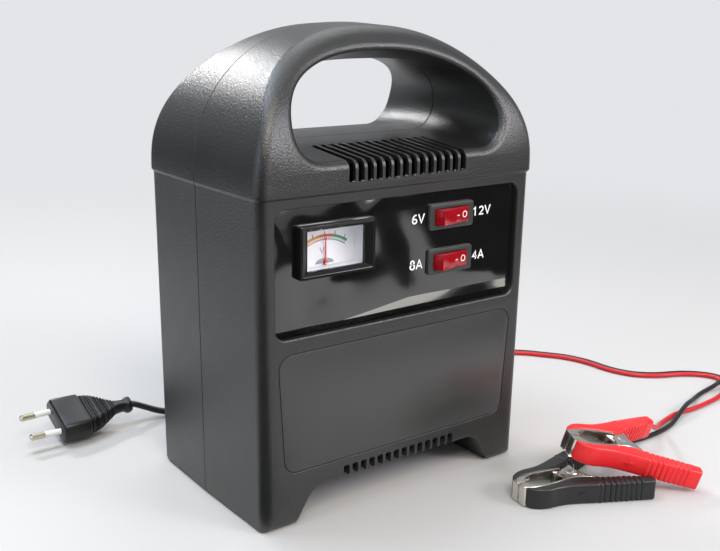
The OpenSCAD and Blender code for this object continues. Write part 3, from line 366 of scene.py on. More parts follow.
@dataclass(frozen=True)
class Striped(Finish):
    """Parallel lines across one axis: stacked core sheets or wound wire."""

    pitch_mm: float = 1.0
    axis: str = "Z"
    line: str = "#201810"

    def colour_of(self, tree: Tree, where: Socket) -> Socket:
        """Bands at pitch_mm that darken towards the joints between them.

        Args:
            tree: The material's nodes.
            where: Object coordinates.

        Returns:
            The colour output.
        """
        bands = self.bands(tree, where)
        ramp = add_node(tree, "ValToRGB", {}, {"Fac": bands})
        ramp.color_ramp.elements[0].color = linear(self.line)
        ramp.color_ramp.elements[1].color = linear(self.colour)
        ramp.color_ramp.elements[1].position = 0.45
        return ramp.outputs["Color"]

    def bands(self, tree: Tree, where: Socket) -> Socket:
        """Sine bands, 0 to 1, with a period of pitch_mm: a wave repeats every 2 pi / 20 of its scale."""
        values = {"Scale": per_mm(self.pitch_mm) * math.pi / 10, "Distortion": 0.3, "Detail": 1.0}
        return add_node(tree, "TexWave", values, {"Vector": where}, bands_direction=self.axis).outputs["Fac"]

    def relief_of(self, tree: Tree, where: Socket) -> Socket | None:
        """Relief of 0.2 mm that follows the bands."""
        bump = add_node(tree, "Bump", {"Distance": 0.2 * MM}, {"Height": self.bands(tree, where)})
        return bump.outputs["Normal"]


@dataclass(frozen=True)
class TwinJacket(Finish):
    """Two-core PVC lead: one core red, the other black, moulded side by side."""

    other: str = "#141414"

    def colour_of(self, tree: Tree, where: Socket) -> Socket:
        """Red where the attribute 'across' is positive, black where it is negative.

        Args:
            tree: The material's nodes.
            where: Object coordinates.

        Returns:
            The colour output.
        """
        across = add_node(tree, "Attribute", attribute_name="across")
        ramp = add_node(tree, "ValToRGB", {}, {"Fac": across.outputs["Fac"]})
        ramp.color_ramp.elements[0].color = linear(self.other)
        ramp.color_ramp.elements[0].position = 0.49
        ramp.color_ramp.elements[1].color = linear(self.colour)
        ramp.color_ramp.elements[1].position = 0.51
        return ramp.outputs["Color"]


@dataclass(frozen=True)
class ScalePrint(Finish):
    """Printed scale band: yellow and orange, then red, then green along its arc."""

    def colour_of(self, tree: Tree, where: Socket) -> Socket:
        """Colour steps along the attribute 'along'.

        Args:
            tree: The material's nodes.
            where: Object coordinates.

        Returns:
            The colour output.
        """
        along = add_node(tree, "Attribute", attribute_name="along")
        ramp = add_node(tree, "ValToRGB", {}, {"Fac": along.outputs["Fac"]})
        ramp.color_ramp.interpolation = "LINEAR"
        stops = ramp.color_ramp.elements
        stops[0].position, stops[0].color = 0.0, linear("#e0a63a")
        stops[1].position, stops[1].color = 1.0, linear("#4d9e74")
        for at, code in ((0.3, "#e0963c"), (0.42, "#d8683c"), (0.66, "#d0573a"), (0.7, "#58a878")):
            stops.new(at).color = linear(code)
        return ramp.outputs["Color"]


FINISHES: dict[str, Finish] = {
    f.name: f
    for f in (
        # Housing: spark-eroded ABS, so highlights spread into a soft sheen.
        MouldedAbs("abs_housing", "#181918", 0.36, specular=0.9, grain_mm=0.8, grain_height=0.13),
        # Rear half: the same ABS as the front, a shade darker in colour, as painted shade for the darker look of the
        # rear moulding.
        MouldedAbs("abs_rear_housing_painted_shade", "#161717", 0.36, specular=0.9, grain_mm=0.8, grain_height=0.13),
        GlossFilm("gloss_panel_film", "#0c0c0c", 0.13, specular=1.3, gloss_spread=0.03, grain_height=0.004),
        # Label film: polycarbonate with a satin face.
        Finish("satin_label_film", "#2e2f2e", 0.34, specular=0.9, grain_mm=0.5, grain_height=0.006, shade=0.03),
        MouldedAbs("abs_bezel", "#131414", 0.14, grain_mm=0.4, grain_height=0.004, rim=0.2),
        MouldedAbs("abs_switch_frame", "#333433", 0.36, grain_mm=0.4, grain_height=0.006, rim=0.2),
        ClearSheet("polystyrene_window", "#ffffff", 0.03, gloss_spread=0.0),
        Finish("matt_dial_card", "#f2f2f6", 0.6, shade=0.02),
        Finish("pale_case_styrene", "#dfe2ea", 0.35, shade=0.02),
        Finish("white_print_ink", "#f4f4f0", 0.45, shade=0.02),
        Finish("grey_print_ink", "#7b7d85", 0.5, shade=0.03),
        Finish("dark_print_ink", "#3f3538", 0.5, shade=0.03),
        Finish("red_print_ink", "#d23a36", 0.5, shade=0.03),
        ScalePrint("scale_print_ink", "#d8683c", 0.5),
        Finish("needle_enamel", "#cf2f2c", 0.35, shade=0.04),
        Finish("hub_styrene", "#9c9da4", 0.45, shade=0.05),
        LitPlastic("rocker_polycarbonate", "#940817", 0.16, coat=0.3),
        # Bare and plated metal: the gloss wanders.
        Finish("zinc_plated_steel", "#c9c8c4", 0.3, 1.0, grain_mm=1.5, grain_height=0.01, gloss_spread=0.09),
        Finish("nickel_plated_steel", "#d6d3cb", 0.2, 1.0, grain_mm=2.0, grain_height=0.02, gloss_spread=0.08),
        Finish("nickel_plated_brass", "#cfc8b4", 0.22, 1.0, grain_mm=1.0, grain_height=0.004, gloss_spread=0.06),
        Finish("yellow_brass", "#c9a45a", 0.32, 1.0, gloss_spread=0.08),
        Finish("mill_aluminium", "#c4c6c9", 0.38, 1.0, grain_mm=0.8, grain_height=0.01, gloss_spread=0.08),
        Striped("stacked_core_sheet", "#5d6064", 0.5, 0.7, pitch_mm=1.0, axis="Y", line="#2a2b2d"),
        Striped("enamelled_copper_wire", "#b5652f", 0.26, 0.6, pitch_mm=1.6, axis="Z", line="#4a2412"),
        Finish("glass_filled_nylon", "#dcd6c2", 0.5, grain_mm=0.6, grain_height=0.01),
        Finish("phenolic_black", "#1e1e20", 0.45, grain_mm=0.5, grain_height=0.01),
        Finish("sleeve_nylon", "#e6e6e4", 0.35, shade=0.03),
        # Flexible PVC: waxy, with a faint drag along the cord.
        Finish("black_pvc_jacket", "#161617", 0.38, grain_mm=1.2, grain_height=0.02, shade=0.08),
        Finish("black_pvc_moulded", "#121213", 0.34, grain_mm=0.8, grain_height=0.02, shade=0.1),
        TwinJacket("twin_pvc_jacket", "#c01a22", 0.34, grain_mm=1.2, grain_height=0.015),
        Finish("red_pvc_jacket", "#c01a22", 0.34, grain_mm=1.2, grain_height=0.015),
        Finish("red_pvc_grip", "#e02226", 0.36, grain_mm=0.9, grain_height=0.02, shade=0.05),
        Finish("black_pvc_grip", "#1b1b1b", 0.38, grain_mm=0.9, grain_height=0.02, shade=0.08),
        Finish("cord_tie_nylon", "#202022", 0.5, grain_mm=0.4, grain_height=0.01),
    )
}


@cache
def finish(name: str) -> bpy.types.Material:
    """The material of a named finish, built once."""
    return FINISHES[name].build()


# Surfaces


def band_faces(rings: int, sides: int) -> Faces:
    """Quads between neighbouring closed rings of a rings x sides grid.

    Args:
        rings: Number of rings.
        sides: Points on each ring.

    Returns:
        Faces as lists of four indices.
    """
    i, j = np.meshgrid(np.arange(rings - 1), np.arange(sides), indexing="ij")
    k = (j + 1) % sides
    quads = np.stack([i * sides + j, i * sides + k, (i + 1) * sides + k, (i + 1) * sides + j], axis=-1)
    return quads.reshape(-1, 4).tolist()


def bridge(first: int, second: int, sides: int) -> Faces:
    """Quads between two closed rings of sides points, from the index of the first point of each."""
    i, j = np.arange(sides), np.roll(np.arange(sides), -1)
    return np.column_stack([first + i, first + j, second + j, second + i]).tolist()


def circle(sides: int) -> Array:
    """Unit circle as points x 2: the cosine and sine of even steps, anticlockwise."""
    a = np.arange(sides) * 2 * math.pi / sides
    return np.column_stack([np.cos(a), np.sin(a)])


def unit(rows: Array) -> Array:
    """Each row over its length."""
    return rows / np.linalg.norm(rows, axis=1, keepdims=True)


def loft(rings: Array, capped: bool = True) -> Solid:
    """Skin over a stack of closed rings, with a flat face at each end.

    Args:
        rings: Array of rings x points x 3.
        capped: Whether both ends are closed.

    Returns:
        Vertices and faces.
    """
    m, n = rings.shape[:2]
    faces = band_faces(m, n)
    if capped:
        faces += [list(range(n))[::-1], list(range((m - 1) * n, m * n))]
    return rings.reshape(-1, 3), faces


def join(*solids: Solid) -> Solid:
    """Puts several solids in one mesh.

    Args:
        *solids: Vertices and faces of each.

    Returns:
        Vertices and faces of all of them.
    """
    vertices, faces, base = [], [], 0
    for v, f in solids:
        vertices.append(v)
        faces += [[i + base for i in face] for face in f]
        base += len(v)
    return np.concatenate(vertices), faces


def inset(outline: Array, d: float) -> Array:
    """Moves a closed anticlockwise outline inwards, each point along its mitre.

    The mitre is the sum of the two edge normals over one plus their dot product.

    Args:
        outline: Points x 2.
        d: Distance in mm.

    Returns:
        The inset outline.
    """
    ahead = np.roll(outline, -1, axis=0) - outline
    ahead /= np.linalg.norm(ahead, axis=1, keepdims=True) + 1e-12
    normal = np.stack([-ahead[:, 1], ahead[:, 0]], axis=1)
    before = np.roll(normal, 1, axis=0)
    scale = 1 + (normal * before).sum(axis=1, keepdims=True)
    return outline + d * (normal + before) / np.maximum(scale, 0.35)


def eased_prism(outline: Array, low: float, high: float, ease: float, steps: int = 4) -> Array:
    """Rings of a prism whose two rims are rounded by a quarter circle.

    At angle a on the rim a point is inset by ease (1 - sin a), ease (1 - cos a) from the end.

    Args:
        outline: Anticlockwise points x 2.
        low: Start along the third axis.
        high: End along the third axis.
        ease: Radius of the rims.
        steps: Segments in each quarter circle.

    Returns:
        Rings x points x 3.
    """
    angle = np.linspace(0, math.pi / 2, steps + 1)
    sides = [(ease * (1 - math.sin(a)), low + ease * (1 - math.cos(a))) for a in angle]
    sides += [(ease * (1 - math.sin(a)), high - ease * (1 - math.cos(a))) for a in angle[::-1]]
    return np.stack([np.column_stack([inset(outline, d), np.full(len(outline), at)]) for d, at in sides])


def upright(solid: Array) -> Array:
    """Turns points drawn as x, z, y into x, y, z."""
    return solid[..., [0, 2, 1]]


def quarters(arc: Array, centres: Sequence[Sequence[float]]) -> Array:
    """Four copies of a quarter arc, each turned a quarter further, at their centres.

    Args:
        arc: Points x 2 of the first quarter.
        centres: Centre of each quarter in order.

    Returns:
        Closed outline, points x 2.
    """
    parts = []
    for k, centre in enumerate(centres):
        c, s = math.cos(k * math.pi / 2), math.sin(k * math.pi / 2)
        parts.append(arc @ np.array([[c, s], [-s, c]]) + np.array(centre))
    return np.concatenate(parts)


def quarter_arc(radius: float, steps: int) -> Array:
    """Quarter circle round the origin as points x 2."""
    a = np.linspace(0, math.pi / 2, steps + 1)
    return np.column_stack([np.cos(a), np.sin(a)]) * radius


def rounded_rect(w: float, h: float, r: float, at: Spot = (0, 0), steps: int = 6) -> Array:
    """Anticlockwise w x h rectangle round at, as points x 2, with corners of radius r."""
    signs = ((1, 1), (-1, 1), (-1, -1), (1, -1))
    return quarters(quarter_arc(r, steps), [(sx * (w / 2 - r), sz * (h / 2 - r)) for sx, sz in signs]) + np.array(at)


def rect_rings(rows: Sequence[tuple[float, float, float, float]], at: Spot) -> Array:
    """Upright rounded rectangles round at, from rows of width, height, corner radius and depth."""
    return np.stack([np.insert(rounded_rect(w, h, r, at, 4), 1, y, axis=1) for w, h, r, y in rows])


def smooth_path(points: Array, per: int, first: Array | None = None, last: Array | None = None) -> Array:
    """Smooth curve through all points: a cubic Hermite blend of the two ends of each span.

    A tangent points from the point before to the point after, and is as long as the span. The
    curve goes no lower than the lowest of the points.

    Args:
        points: Control points x 3.
        per: Segments in each span.
        first: Direction at the start, if it is set.
        last: Direction at the end, if it is set.

    Returns:
        Points along the curve.
    """
    span = np.linalg.norm(np.diff(points, axis=0), axis=1)
    before = np.concatenate([points[:1] * 2 - points[1:2], points[:-1]])
    after = np.concatenate([points[1:], points[-1:] * 2 - points[-2:-1]])
    tangent = unit(after - before)
    if first is not None:
        tangent[0] = first / np.linalg.norm(first)
    if last is not None:
        tangent[-1] = last / np.linalg.norm(last)
    t = np.linspace(0, 1, per + 1)[:-1][None, :, None]
    p0, p1 = points[:-1, None], points[1:, None]
    m0, m1 = tangent[:-1, None] * span[:, None, None], tangent[1:, None] * span[:, None, None]
    curve = (
        (2 * t**3 - 3 * t**2 + 1) * p0
        + (t**3 - 2 * t**2 + t) * m0
        + (-2 * t**3 + 3 * t**2) * p1
        + (t**3 - t**2) * m1
    )
    out = np.concatenate([curve.reshape(-1, 3), points[-1:]])
    out[:, 2] = np.maximum(out[:, 2], points[:, 2].min())
    return out


def swept(path: Array, section: Array, first: Array | None = None, last: Array | None = None) -> Array:
    """Carries a section along a path with its first axis kept level.

    Args:
        path: Points x 3.
        section: Points x 2, across and over.
        first: Direction at the start, if it is set.
        last: Direction at the end, if it is set.

    Returns:
        Rings x points x 3.
    """
    heading = np.gradient(path, axis=0)
    if first is not None:
        heading[0] = first
    if last is not None:
        heading[-1] = last
    heading = unit(heading)
    across = unit(np.column_stack([heading[:, 1], -heading[:, 0], np.zeros(len(path))]))
    over = np.cross(across, heading)
    return path[:, None] + across[:, None] * section[None, :, :1] + over[:, None] * section[None, :, 1:]


def tube(path: Array, radius: float, sides: int = 12) -> Solid:
    """Round rod along a path, its section turned without twist from point to point.

    Args:
        path: Points x 3.
        radius: Radius of the rod.
        sides: Points round it.

    Returns:
        Vertices and faces.
    """
    heading = unit(np.gradient(path, axis=0))
    guide = np.cross(heading[0], [0.0, 0.0, 1.0])
    if np.linalg.norm(guide) < 1e-3:
        guide = np.array([1.0, 0.0, 0.0])
    sides_of = []
    for h in heading:
        guide = guide - h * guide.dot(h)
        guide = guide / np.linalg.norm(guide)
        sides_of.append(guide)
    side = np.array(sides_of)
    up = np.cross(heading, side)
    ring = circle(sides)
    return loft(path[:, None] + radius * (side[:, None] * ring[:, :1] + up[:, None] * ring[:, 1:]))


def turned_rows(angles: Sequence[float]) -> Array:
    """Matrix that turns row vectors by x, then y, then z, in degrees.

    Args:
        angles: The three angles.

    Returns:
        3 x 3 matrix for points on the left.
    """
    a, b, c = (math.radians(v) for v in angles)
    x = np.array([[1, 0, 0], [0, math.cos(a), -math.sin(a)], [0, math.sin(a), math.cos(a)]])
    y = np.array([[math.cos(b), 0, math.sin(b)], [0, 1, 0], [-math.sin(b), 0, math.cos(b)]])
    z = np.array([[math.cos(c), -math.sin(c), 0], [math.sin(c), math.cos(c), 0], [0, 0, 1]])
    return (z @ y @ x).T


@dataclass(frozen=True)
class Pose:
    """Where a clamp or the plug lies: a turn in degrees, then a move in mm."""

    at: Place
    turn: Place

    def place(self, solid: Solid) -> Solid:
        """Moves a solid into place."""
        return solid[0] @ turned_rows(self.turn) + np.array(self.at), solid[1]

    def point(self, p: Sequence[float]) -> Array:
        """Moves one point into place."""
        return np.array(p, float) @ turned_rows(self.turn) + np.array(self.at)

    def direction(self, d: Sequence[float]) -> Array:
        """Turns one direction."""
        return np.array(d, float) @ turned_rows(self.turn)


# Pieces


def make_mesh(name: str, solid: Solid, attributes: dict[str, Array] | None = None, angle: float = 35.0) -> Piece:
    """Writes a solid into a mesh object at the origin, with outward faces.

    Args:
        name: Name of the object.
        solid: Vertices in mm and faces.
        attributes: One value for each vertex, by attribute name.
        angle: Edges sharper than this many degrees stay crisp.

    Returns:
        The object.
    """
    mesh = bpy.data.meshes.new(name)
    mesh.from_pydata((solid[0] * MM).tolist(), [], solid[1])
    for key, values in (attributes or {}).items():
        mesh.attributes.new(key, "FLOAT", "POINT").data.foreach_set("value", np.asarray(values, np.float32))
    tidy(mesh, angle)
    obj = bpy.data.objects.new(name, mesh)
    bpy.context.scene.collection.objects.link(obj)
    return obj


def tidy(mesh: bpy.types.Mesh, angle: float) -> None:
    """Turns all faces outwards and shades them smooth up to an angle.

    Args:
        mesh: Mesh to change.
        angle: Edges sharper than this many degrees stay crisp.
    """
    work = bmesh.new()
    work.from_mesh(mesh)
    bmesh.ops.recalc_face_normals(work, faces=work.faces)
    work.to_mesh(mesh)
    work.free()
    mesh.shade_smooth()
    mesh.set_sharp_from_angle(angle=math.radians(angle))


def dress(
    obj: Piece, finish_name: str, body: str | None = "charger", nodes: Sequence[str] = ()
) -> Piece:
    """Gives a piece its finish, the body it moves with and the nodes it stands for.

    Args:
        obj: The piece.
        finish_name: Key in FINISHES.
        body: Body it rides on, or None to leave it unattached.
        nodes: CAD nodes that it replaces.

    Returns:
        The piece.
    """
    obj.data.materials.clear()
    obj.data.materials.append(finish(finish_name))
    if body:
        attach(obj, body)
    if nodes:
        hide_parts(*nodes)
    log.info("%s: %d faces in %s", obj.name, len(obj.data.polygons), finish_name)
    return obj


def carve(obj: Piece, cutters: Sequence[Solid]) -> Piece:
    """Cuts solids out of a piece, one exact boolean after another.

    Args:
        obj: Piece to cut.
        cutters: Closed solids in mm.

    Returns:
        The piece with its new mesh.
    """
    tools = [make_mesh(f"cutter_{i}", cutter) for i, cutter in enumerate(cutters)]
    for tool in tools:
        step = obj.modifiers.new("carve", "BOOLEAN")
        step.operation, step.solver, step.object = "DIFFERENCE", "EXACT", tool
    bpy.context.view_layer.update()
    fresh = bpy.data.meshes.new_from_object(obj.evaluated_get(bpy.context.evaluated_depsgraph_get()))
    obj.modifiers.clear()
    old, obj.data = obj.data, fresh
    bpy.data.meshes.remove(old)
    for tool in tools:
        bpy.data.objects.remove(tool)
    return obj


def arc(x: float, z: float, rx: float, rz: float, start: float, end: float) -> Array:
    """Elliptic arc as 21 points x 2, its angles in degrees."""
    a = np.radians(np.linspace(start, end, 21))
    return np.column_stack([x + rx * np.cos(a), z + rz * np.sin(a)])


# Middle lines of the characters, one unit high.
CHARACTERS: dict[str, tuple[Array, ...]] = {
    "1": (np.array([[0.1, 0.7], [0.3, 0.9], [0.3, 0.0]]),),
    "2": (np.concatenate([arc(0.3, 0.68, 0.22, 0.23, 165, -35), [[0.09, 0.09], [0.56, 0.09]]]),),
    "4": (np.array([[0.43, 0.0], [0.43, 0.88], [0.08, 0.3], [0.58, 0.3]]),),
    "6": (arc(0.31, 0.3, 0.22, 0.22, 0, 360), arc(0.42, 0.36, 0.33, 0.56, 175, 75)),
    "8": (arc(0.31, 0.72, 0.18, 0.2, 0, 360), arc(0.31, 0.27, 0.23, 0.25, 0, 360)),
    "V": (np.array([[0.03, 1.0], [0.34, 0.08], [0.65, 1.0]]),),
    "A": (np.array([[0.03, 0.0], [0.35, 0.92], [0.67, 0.0]]), np.array([[0.16, 0.3], [0.54, 0.3]])),
}


def lettering(text: str, height: float, at: Place, weight: float = 0.17) -> Piece:
    """Upright characters facing the front, as thin ribbons along their middle lines.

    Args:
        text: Characters to set.
        height: Height of a character.
        at: Centre of the word.
        weight: Width of a stroke over the height.

    Returns:
        The piece.
    """
    strokes = []
    for k, mark in enumerate(text):
        for line in CHARACTERS[mark]:
            path = (line * [1.22, 1.0] + [0.86 * k, 0.0]) * height
            ahead = unit(np.diff(path, axis=0))
            sides = np.column_stack([-ahead[:, 1], ahead[:, 0]])
            before, after = np.concatenate([sides[:1], sides]), np.concatenate([sides, sides[-1:]])
            mitre = (before + after) / np.maximum(1 + (before * after).sum(axis=1, keepdims=True), 0.45)
            edge = mitre * weight * height / 2
            corners = ((edge, -0.03), (-edge, -0.03), (-edge, 0.03), (edge, 0.03))
            strokes.append(np.stack([np.insert(path + e, 1, y, axis=1) for e, y in corners], axis=1))
    points = np.concatenate(strokes).reshape(-1, 3)
    middle = (points.max(axis=0) + points.min(axis=0)) / 2
    return make_mesh("letters", join(*(loft(s - middle + np.array(at)) for s in strokes)))


# Housing


class Half(Enum):
    """The two mouldings of the housing."""

    FRONT = 1
    REAR = -1


@dataclass
class Housing:
    """Two moulded halves: an arched outline, leaning upper faces and a hand opening.

    The outline is a straight drafted side up to a soft shoulder and a superellipse above.
    """

    width: float = 180.0
    depth: float = 116.0
    height: float = 250.0
    parting: float = 3.0
    shoulder: float = 171.0
    shoulder_step: float = 1.4
    foot_taper: float = 1.6
    wall: float = 2.5
    edge: float = 6.0
    draft: float = 0.8
    arch_power: float = 2.25
    lean_from: float = 182.0
    lean_radius: float = 62.0
    lean_most: float = 36.0
    grip_half: float = 66.0
    grip_floor: float = 190.0
    grip_top: float = 232.0
    grip_corner: float = 15.0
    grip_lip: float = 4.5
    grip_power: float = 2.7
    foot_half: float = 68.0
    foot_height: float = 19.5
    vent_count: int = 14
    vent_pitch: float = 5.53
    vent_width: float = 3.75
    screws: tuple[Spot, ...] = ((-76, 34), (76, 34), (-76, 132), (76, 132), (0, 240.8))
    grip_rims: dict[Half, tuple[float, ...]] = field(
        default_factory=lambda: {Half.FRONT: (3.5, 4.5, 0.0, 0.45), Half.REAR: (2.3, 0.0, 5.0, 0.0)}
    )

    @property
    def front(self) -> float:
        """Plane of the front face."""
        return -self.depth / 2

    def lean(self, z: Array) -> Array:
        """Inward lean of a face: a circular arc from lean_from, then its tangent.

        Args:
            z: Heights.

        Returns:
            The lean at each height.
        """
        h = np.maximum(0.0, z - self.lean_from)
        reach = self.lean_radius * math.sin(math.radians(self.lean_most))
        arc = self.lean_radius - np.sqrt(self.lean_radius**2 - np.minimum(h, reach) ** 2)
        return arc + np.maximum(0.0, h - reach) * math.tan(math.radians(self.lean_most))

    def ramp(self, z: Array) -> Array:
        """Soft step from 0 below the shoulder to 1 above it."""
        t = np.clip((z - self.shoulder + 1) / 2, 0, 1)
        return t * t * (3 - 2 * t)

    def face_in(self, z: Array) -> Array:
        """Depth of a face behind its plane at height z."""
        return self.lean(z) + self.shoulder_step * (1 - self.ramp(z))

    def side(self, z: Array) -> Array:
        """Half width of the straight side at height z."""
        step = self.shoulder_step / 2
        return self.width / 2 - step - self.foot_taper * (1 - z / self.shoulder) + step * self.ramp(z)

    def outline(self, d: float, low: float, steps: int = 72) -> Array:
        """Outline inset by d: foot corner, drafted side, shoulder, superellipse, mirrored.

        Args:
            d: Inset in mm.
            low: Inset at the floor, whose underside has no draft.
            steps: Segments in each quarter of the arch.

        Returns:
            Points x 2, from the right foot over the top to the left foot.
        """
        r = max(3.0 - low, 0.4)
        x0, z0 = float(self.side(np.array(0.0))) - d - r, low + r
        a = np.linspace(-math.pi / 2, 0, 6)
        foot = np.column_stack([x0 + r * np.cos(a), z0 + r * np.sin(a)])
        z = np.concatenate([[14.0, 60.0, 110.0, 150.0], self.shoulder + np.linspace(-1.0, 1.0, 9)[:-1]])
        side = np.column_stack([self.side(z) - d, z])
        t = np.linspace(0, math.pi / 2, steps + 1)
        power = 2 / self.arch_power
        arch = np.column_stack(
            [
                (self.width / 2 - d) * np.cos(t).clip(0, 1) ** power,
                self.shoulder + 1 + (self.height - self.shoulder - 1 - d) * np.sin(t) ** power,
            ]
        )
        arch[-1, 0] = 0.0
        right = np.concatenate([foot, side, arch])
        return np.concatenate([right, right[-2::-1] * [-1, 1]])

    def half_solid(self, off: float, plane: float, groove: float = 0.0, turn_steps: int = 9) -> Solid:
        """One half from its parting plane to its face, its front rim a quarter circle.

        Args:
            off: Inset of the whole skin, for the hollow.
            plane: Parting plane, in the half's own frame.
            groove: Chamfer at the parting edge.
            turn_steps: Segments in the rounded rim.

        Returns:
            Closed solid whose ends are ladders of level strips.
        """
        r = self.edge - off
        rings = []
        if groove:
            rings.append((off + groove, None, plane))
            rings.append((off, None, plane - groove))
        else:
            rings.append((off, None, plane))
        for u in np.linspace(math.pi / 2, 0, turn_steps + 1):
            rings.append((self.draft + off + r * (1 - math.sin(u)), off + r * (1 - math.cos(u)), None))
        stack = []
        for d, e, flat in rings:
            p = self.outline(d, d if e is None else d - self.draft)
            y = np.full(len(p), flat) if e is None else self.front + self.face_in(p[:, 1]) + e
            stack.append(np.column_stack([p[:, 0], y, p[:, 1]]))
        verts = np.stack(stack)
        m, n = verts.shape[:2]
        half = (n - 1) // 2
        faces = band_faces(m, n)
        for base in (0, (m - 1) * n):
            i = np.arange(half - 1)
            ladder = np.column_stack([i, i + 1, n - 2 - i, n - 1 - i]) + base
            faces += ladder.tolist() + [[base + half - 1, base + half, base + half + 1]]
        return verts.reshape(-1, 3), faces

    def grip_ring(self, g: float, rim: Sequence[float] = (0.0, 0.0, 0.0, 0.0)) -> Array:
        """Outline of the hand opening: a superellipse over two round corners.

        Args:
            g: Growth all round.
            rim: Change at a face: fall of the floor, rise of the crown, spread, loss of squareness.

        Returns:
            Points x 2.
        """
        fall, rise, spread, loss = rim
        w, r = self.grip_half + g + spread, self.grip_corner + g
        centre = self.grip_floor + self.grip_corner - fall
        t = np.linspace(0, math.pi, 57)
        c, s = np.cos(t), np.sin(t).clip(0, 1)
        power = 2 / (self.grip_power - loss)
        top = np.column_stack(
            [w * np.sign(c) * np.abs(c) ** power, centre + (self.grip_top + rise + g - centre) * s**power]
        )
        a = np.radians(np.linspace(190, 270, 9))
        left = np.column_stack([-(w - r) + r * np.cos(a), centre + r * np.sin(a)])
        a = np.radians(np.linspace(270, 350, 9))
        right = np.column_stack([w - r + r * np.cos(a), centre + r * np.sin(a)])
        return np.concatenate([top, left, right])

    def on_face(self, ring: Array, e: float) -> Array:
        """Outline carried to depth e behind the face."""
        return np.insert(ring, 1, self.front + self.face_in(ring[:, 1]) + e, axis=1)

    def lipped(
        self, ring: Callable[[float], Array], deep: float, lip: float, steps: int = 6, groove: float = 0.0,
        root: Array | None = None,
    ) -> Solid:
        """Cutter whose mouth flares over a rounded lip at the face.

        At angle u it is grown by lip (1 - cos u) at a depth of lip (1 - sin u).

        Args:
            ring: Outline of the cut, grown by a given distance.
            deep: Plane at which the cut ends.
            lip: Radius of the lip.
            steps: Segments in the lip.
            groove: Growth 1 mm before deep.
            root: Outline from deep to 22 mm before it, where that differs.

        Returns:
            Closed cutter in the front half's frame.
        """
        u = np.radians(np.linspace(0, 80, steps + 1))
        flare = [(lip * (1 - math.cos(a)), lip * (1 - math.sin(a))) for a in u]
        g, e = flare[-1]
        flare += [(g + lip * 0.84, e - lip * 0.149), (g + lip * 0.84, -8.0)]
        start = ring(0.0) if root is None else root
        planes = [deep]
        stack = []
        if groove:
            stack = [np.insert(inset(start, -groove), 1, y, axis=1) for y in (deep, deep - 1.0)]
            planes = [deep - 1.0 - groove]
        if root is not None:
            planes.append(deep - 22.0)
        stack += [np.insert(start, 1, y, axis=1) for y in planes]
        stack += [self.on_face(ring(grow), e) for grow, e in flare]
        return loft(np.stack(stack))

    def block(self, outline: Array, y0: float, y1: float) -> Solid:
        """Straight prism of a front outline between two planes."""
        return loft(upright(np.stack([np.column_stack([outline, np.full(len(outline), y)]) for y in (y0, y1)])))

    def foot_ring(self, g: float) -> Array:
        """Tunnel between the feet: sloping sides and a level top with 12 mm corners.

        Args:
            g: Growth all round.

        Returns:
            Points x 2.
        """
        slope, r = 0.64, 12.0
        lean = math.atan(slope)
        top = self.foot_half - slope * self.foot_height
        a = np.linspace(0, math.pi / 2 - lean, 8)
        reach = r * math.tan((math.pi / 2 - lean) / 2)
        arc = np.column_stack([top - reach + (r + g) * np.sin(a), self.foot_height - r + (r + g) * np.cos(a)])
        low = np.array([[self.foot_half + 30 * slope + g * 1.19, -30.0]])
        right = np.concatenate([arc, low])
        return np.concatenate([right * [-1, 1], right[::-1]])[::-1]

    def rod(self, at: Spot, y0: float, y1: float, r: float) -> Solid:
        """Round rod along Y."""
        return self.block(np.array(at) + r * circle(40), y0, y1)

    def panel_holes(self, y0: float, y1: float) -> list[Solid]:
        """Cutters for the meter and both switches between two planes."""
        places = [(METER_HOLE, METER_AT), (SWITCH_HOLE, (SWITCH_X, VOLTAGE_Z)), (SWITCH_HOLE, (SWITCH_X, CURRENT_Z))]
        return [self.block(rounded_rect(*size, HOLE_CORNER, at, 1), y0, y1) for size, at in places]

    def vents(self, z0: float, z1: float, y0: float, y1: float) -> Solid:
        """Row of upright slots, centred on the housing.

        Args:
            z0: Lower end.
            z1: Upper end.
            y0: Front plane.
            y1: Rear plane.

        Returns:
            The slots as one cutter.
        """
        slots = []
        for i in range(self.vent_count):
            at = ((i - (self.vent_count - 1) / 2) * self.vent_pitch, (z0 + z1) / 2)
            slots.append(self.block(rounded_rect(self.vent_width, z1 - z0, 1.1, at, 4), y0, y1))
        return join(*slots)

    def shell(self, half: Half, extra: Sequence[Solid]) -> Piece:
        """Carves one half: hollow, hand opening, tunnel, vents, screw bosses and its own cuts.

        Args:
            half: Which moulding.
            extra: Cuts of that half only, in its own frame with the face towards -Y.

        Returns:
            The finished mesh object.
        """
        plane = self.parting * half.value
        rim = self.grip_rims[half]
        inner = make_mesh("hollow", self.half_solid(self.wall, plane + 0.01, turn_steps=4))
        root, mouth = self.grip_ring(self.wall), self.grip_ring(self.wall, rim)
        sleeve = [np.insert(root, 1, plane + 1, axis=1), np.insert(root, 1, plane - 21, axis=1)]
        sleeve += [self.on_face(mouth, self.grip_lip), np.insert(mouth, 1, self.front - 1, axis=1)]
        walls = [self.block(self.foot_ring(self.wall), self.front - 1, plane + 1), loft(np.stack(sleeve))]
        walls += [self.rod(at, self.front, plane + 1, 4.6 if at[0] == 0 else 4.9) for at in self.screws]
        if half is Half.FRONT:
            walls.append(self.block(rounded_rect(163, 69, 8.5, (0, PANEL_Z)), self.front - 1, -49.9))
        carve(inner, walls)
        hollow = read_solid(inner)
        bpy.data.objects.remove(inner)
        obj = make_mesh(f"{half.name.lower()}_half", self.half_solid(0.0, plane, groove=0.4))
        opening = self.lipped(
            lambda g: self.grip_ring(g, rim), plane + 1, self.grip_lip, 9, groove=0.4, root=self.grip_ring(0.0)
        )
        tunnel = self.lipped(self.foot_ring, plane + 1, 1.6, 4)
        vents = self.vents(self.foot_height - 4, 25.9, self.front - 1, self.front + 18)
        carve(obj, [hollow, opening, tunnel, vents, *extra])
        if half is Half.REAR:
            points, faces = read_solid(obj)
            bpy.data.objects.remove(obj)
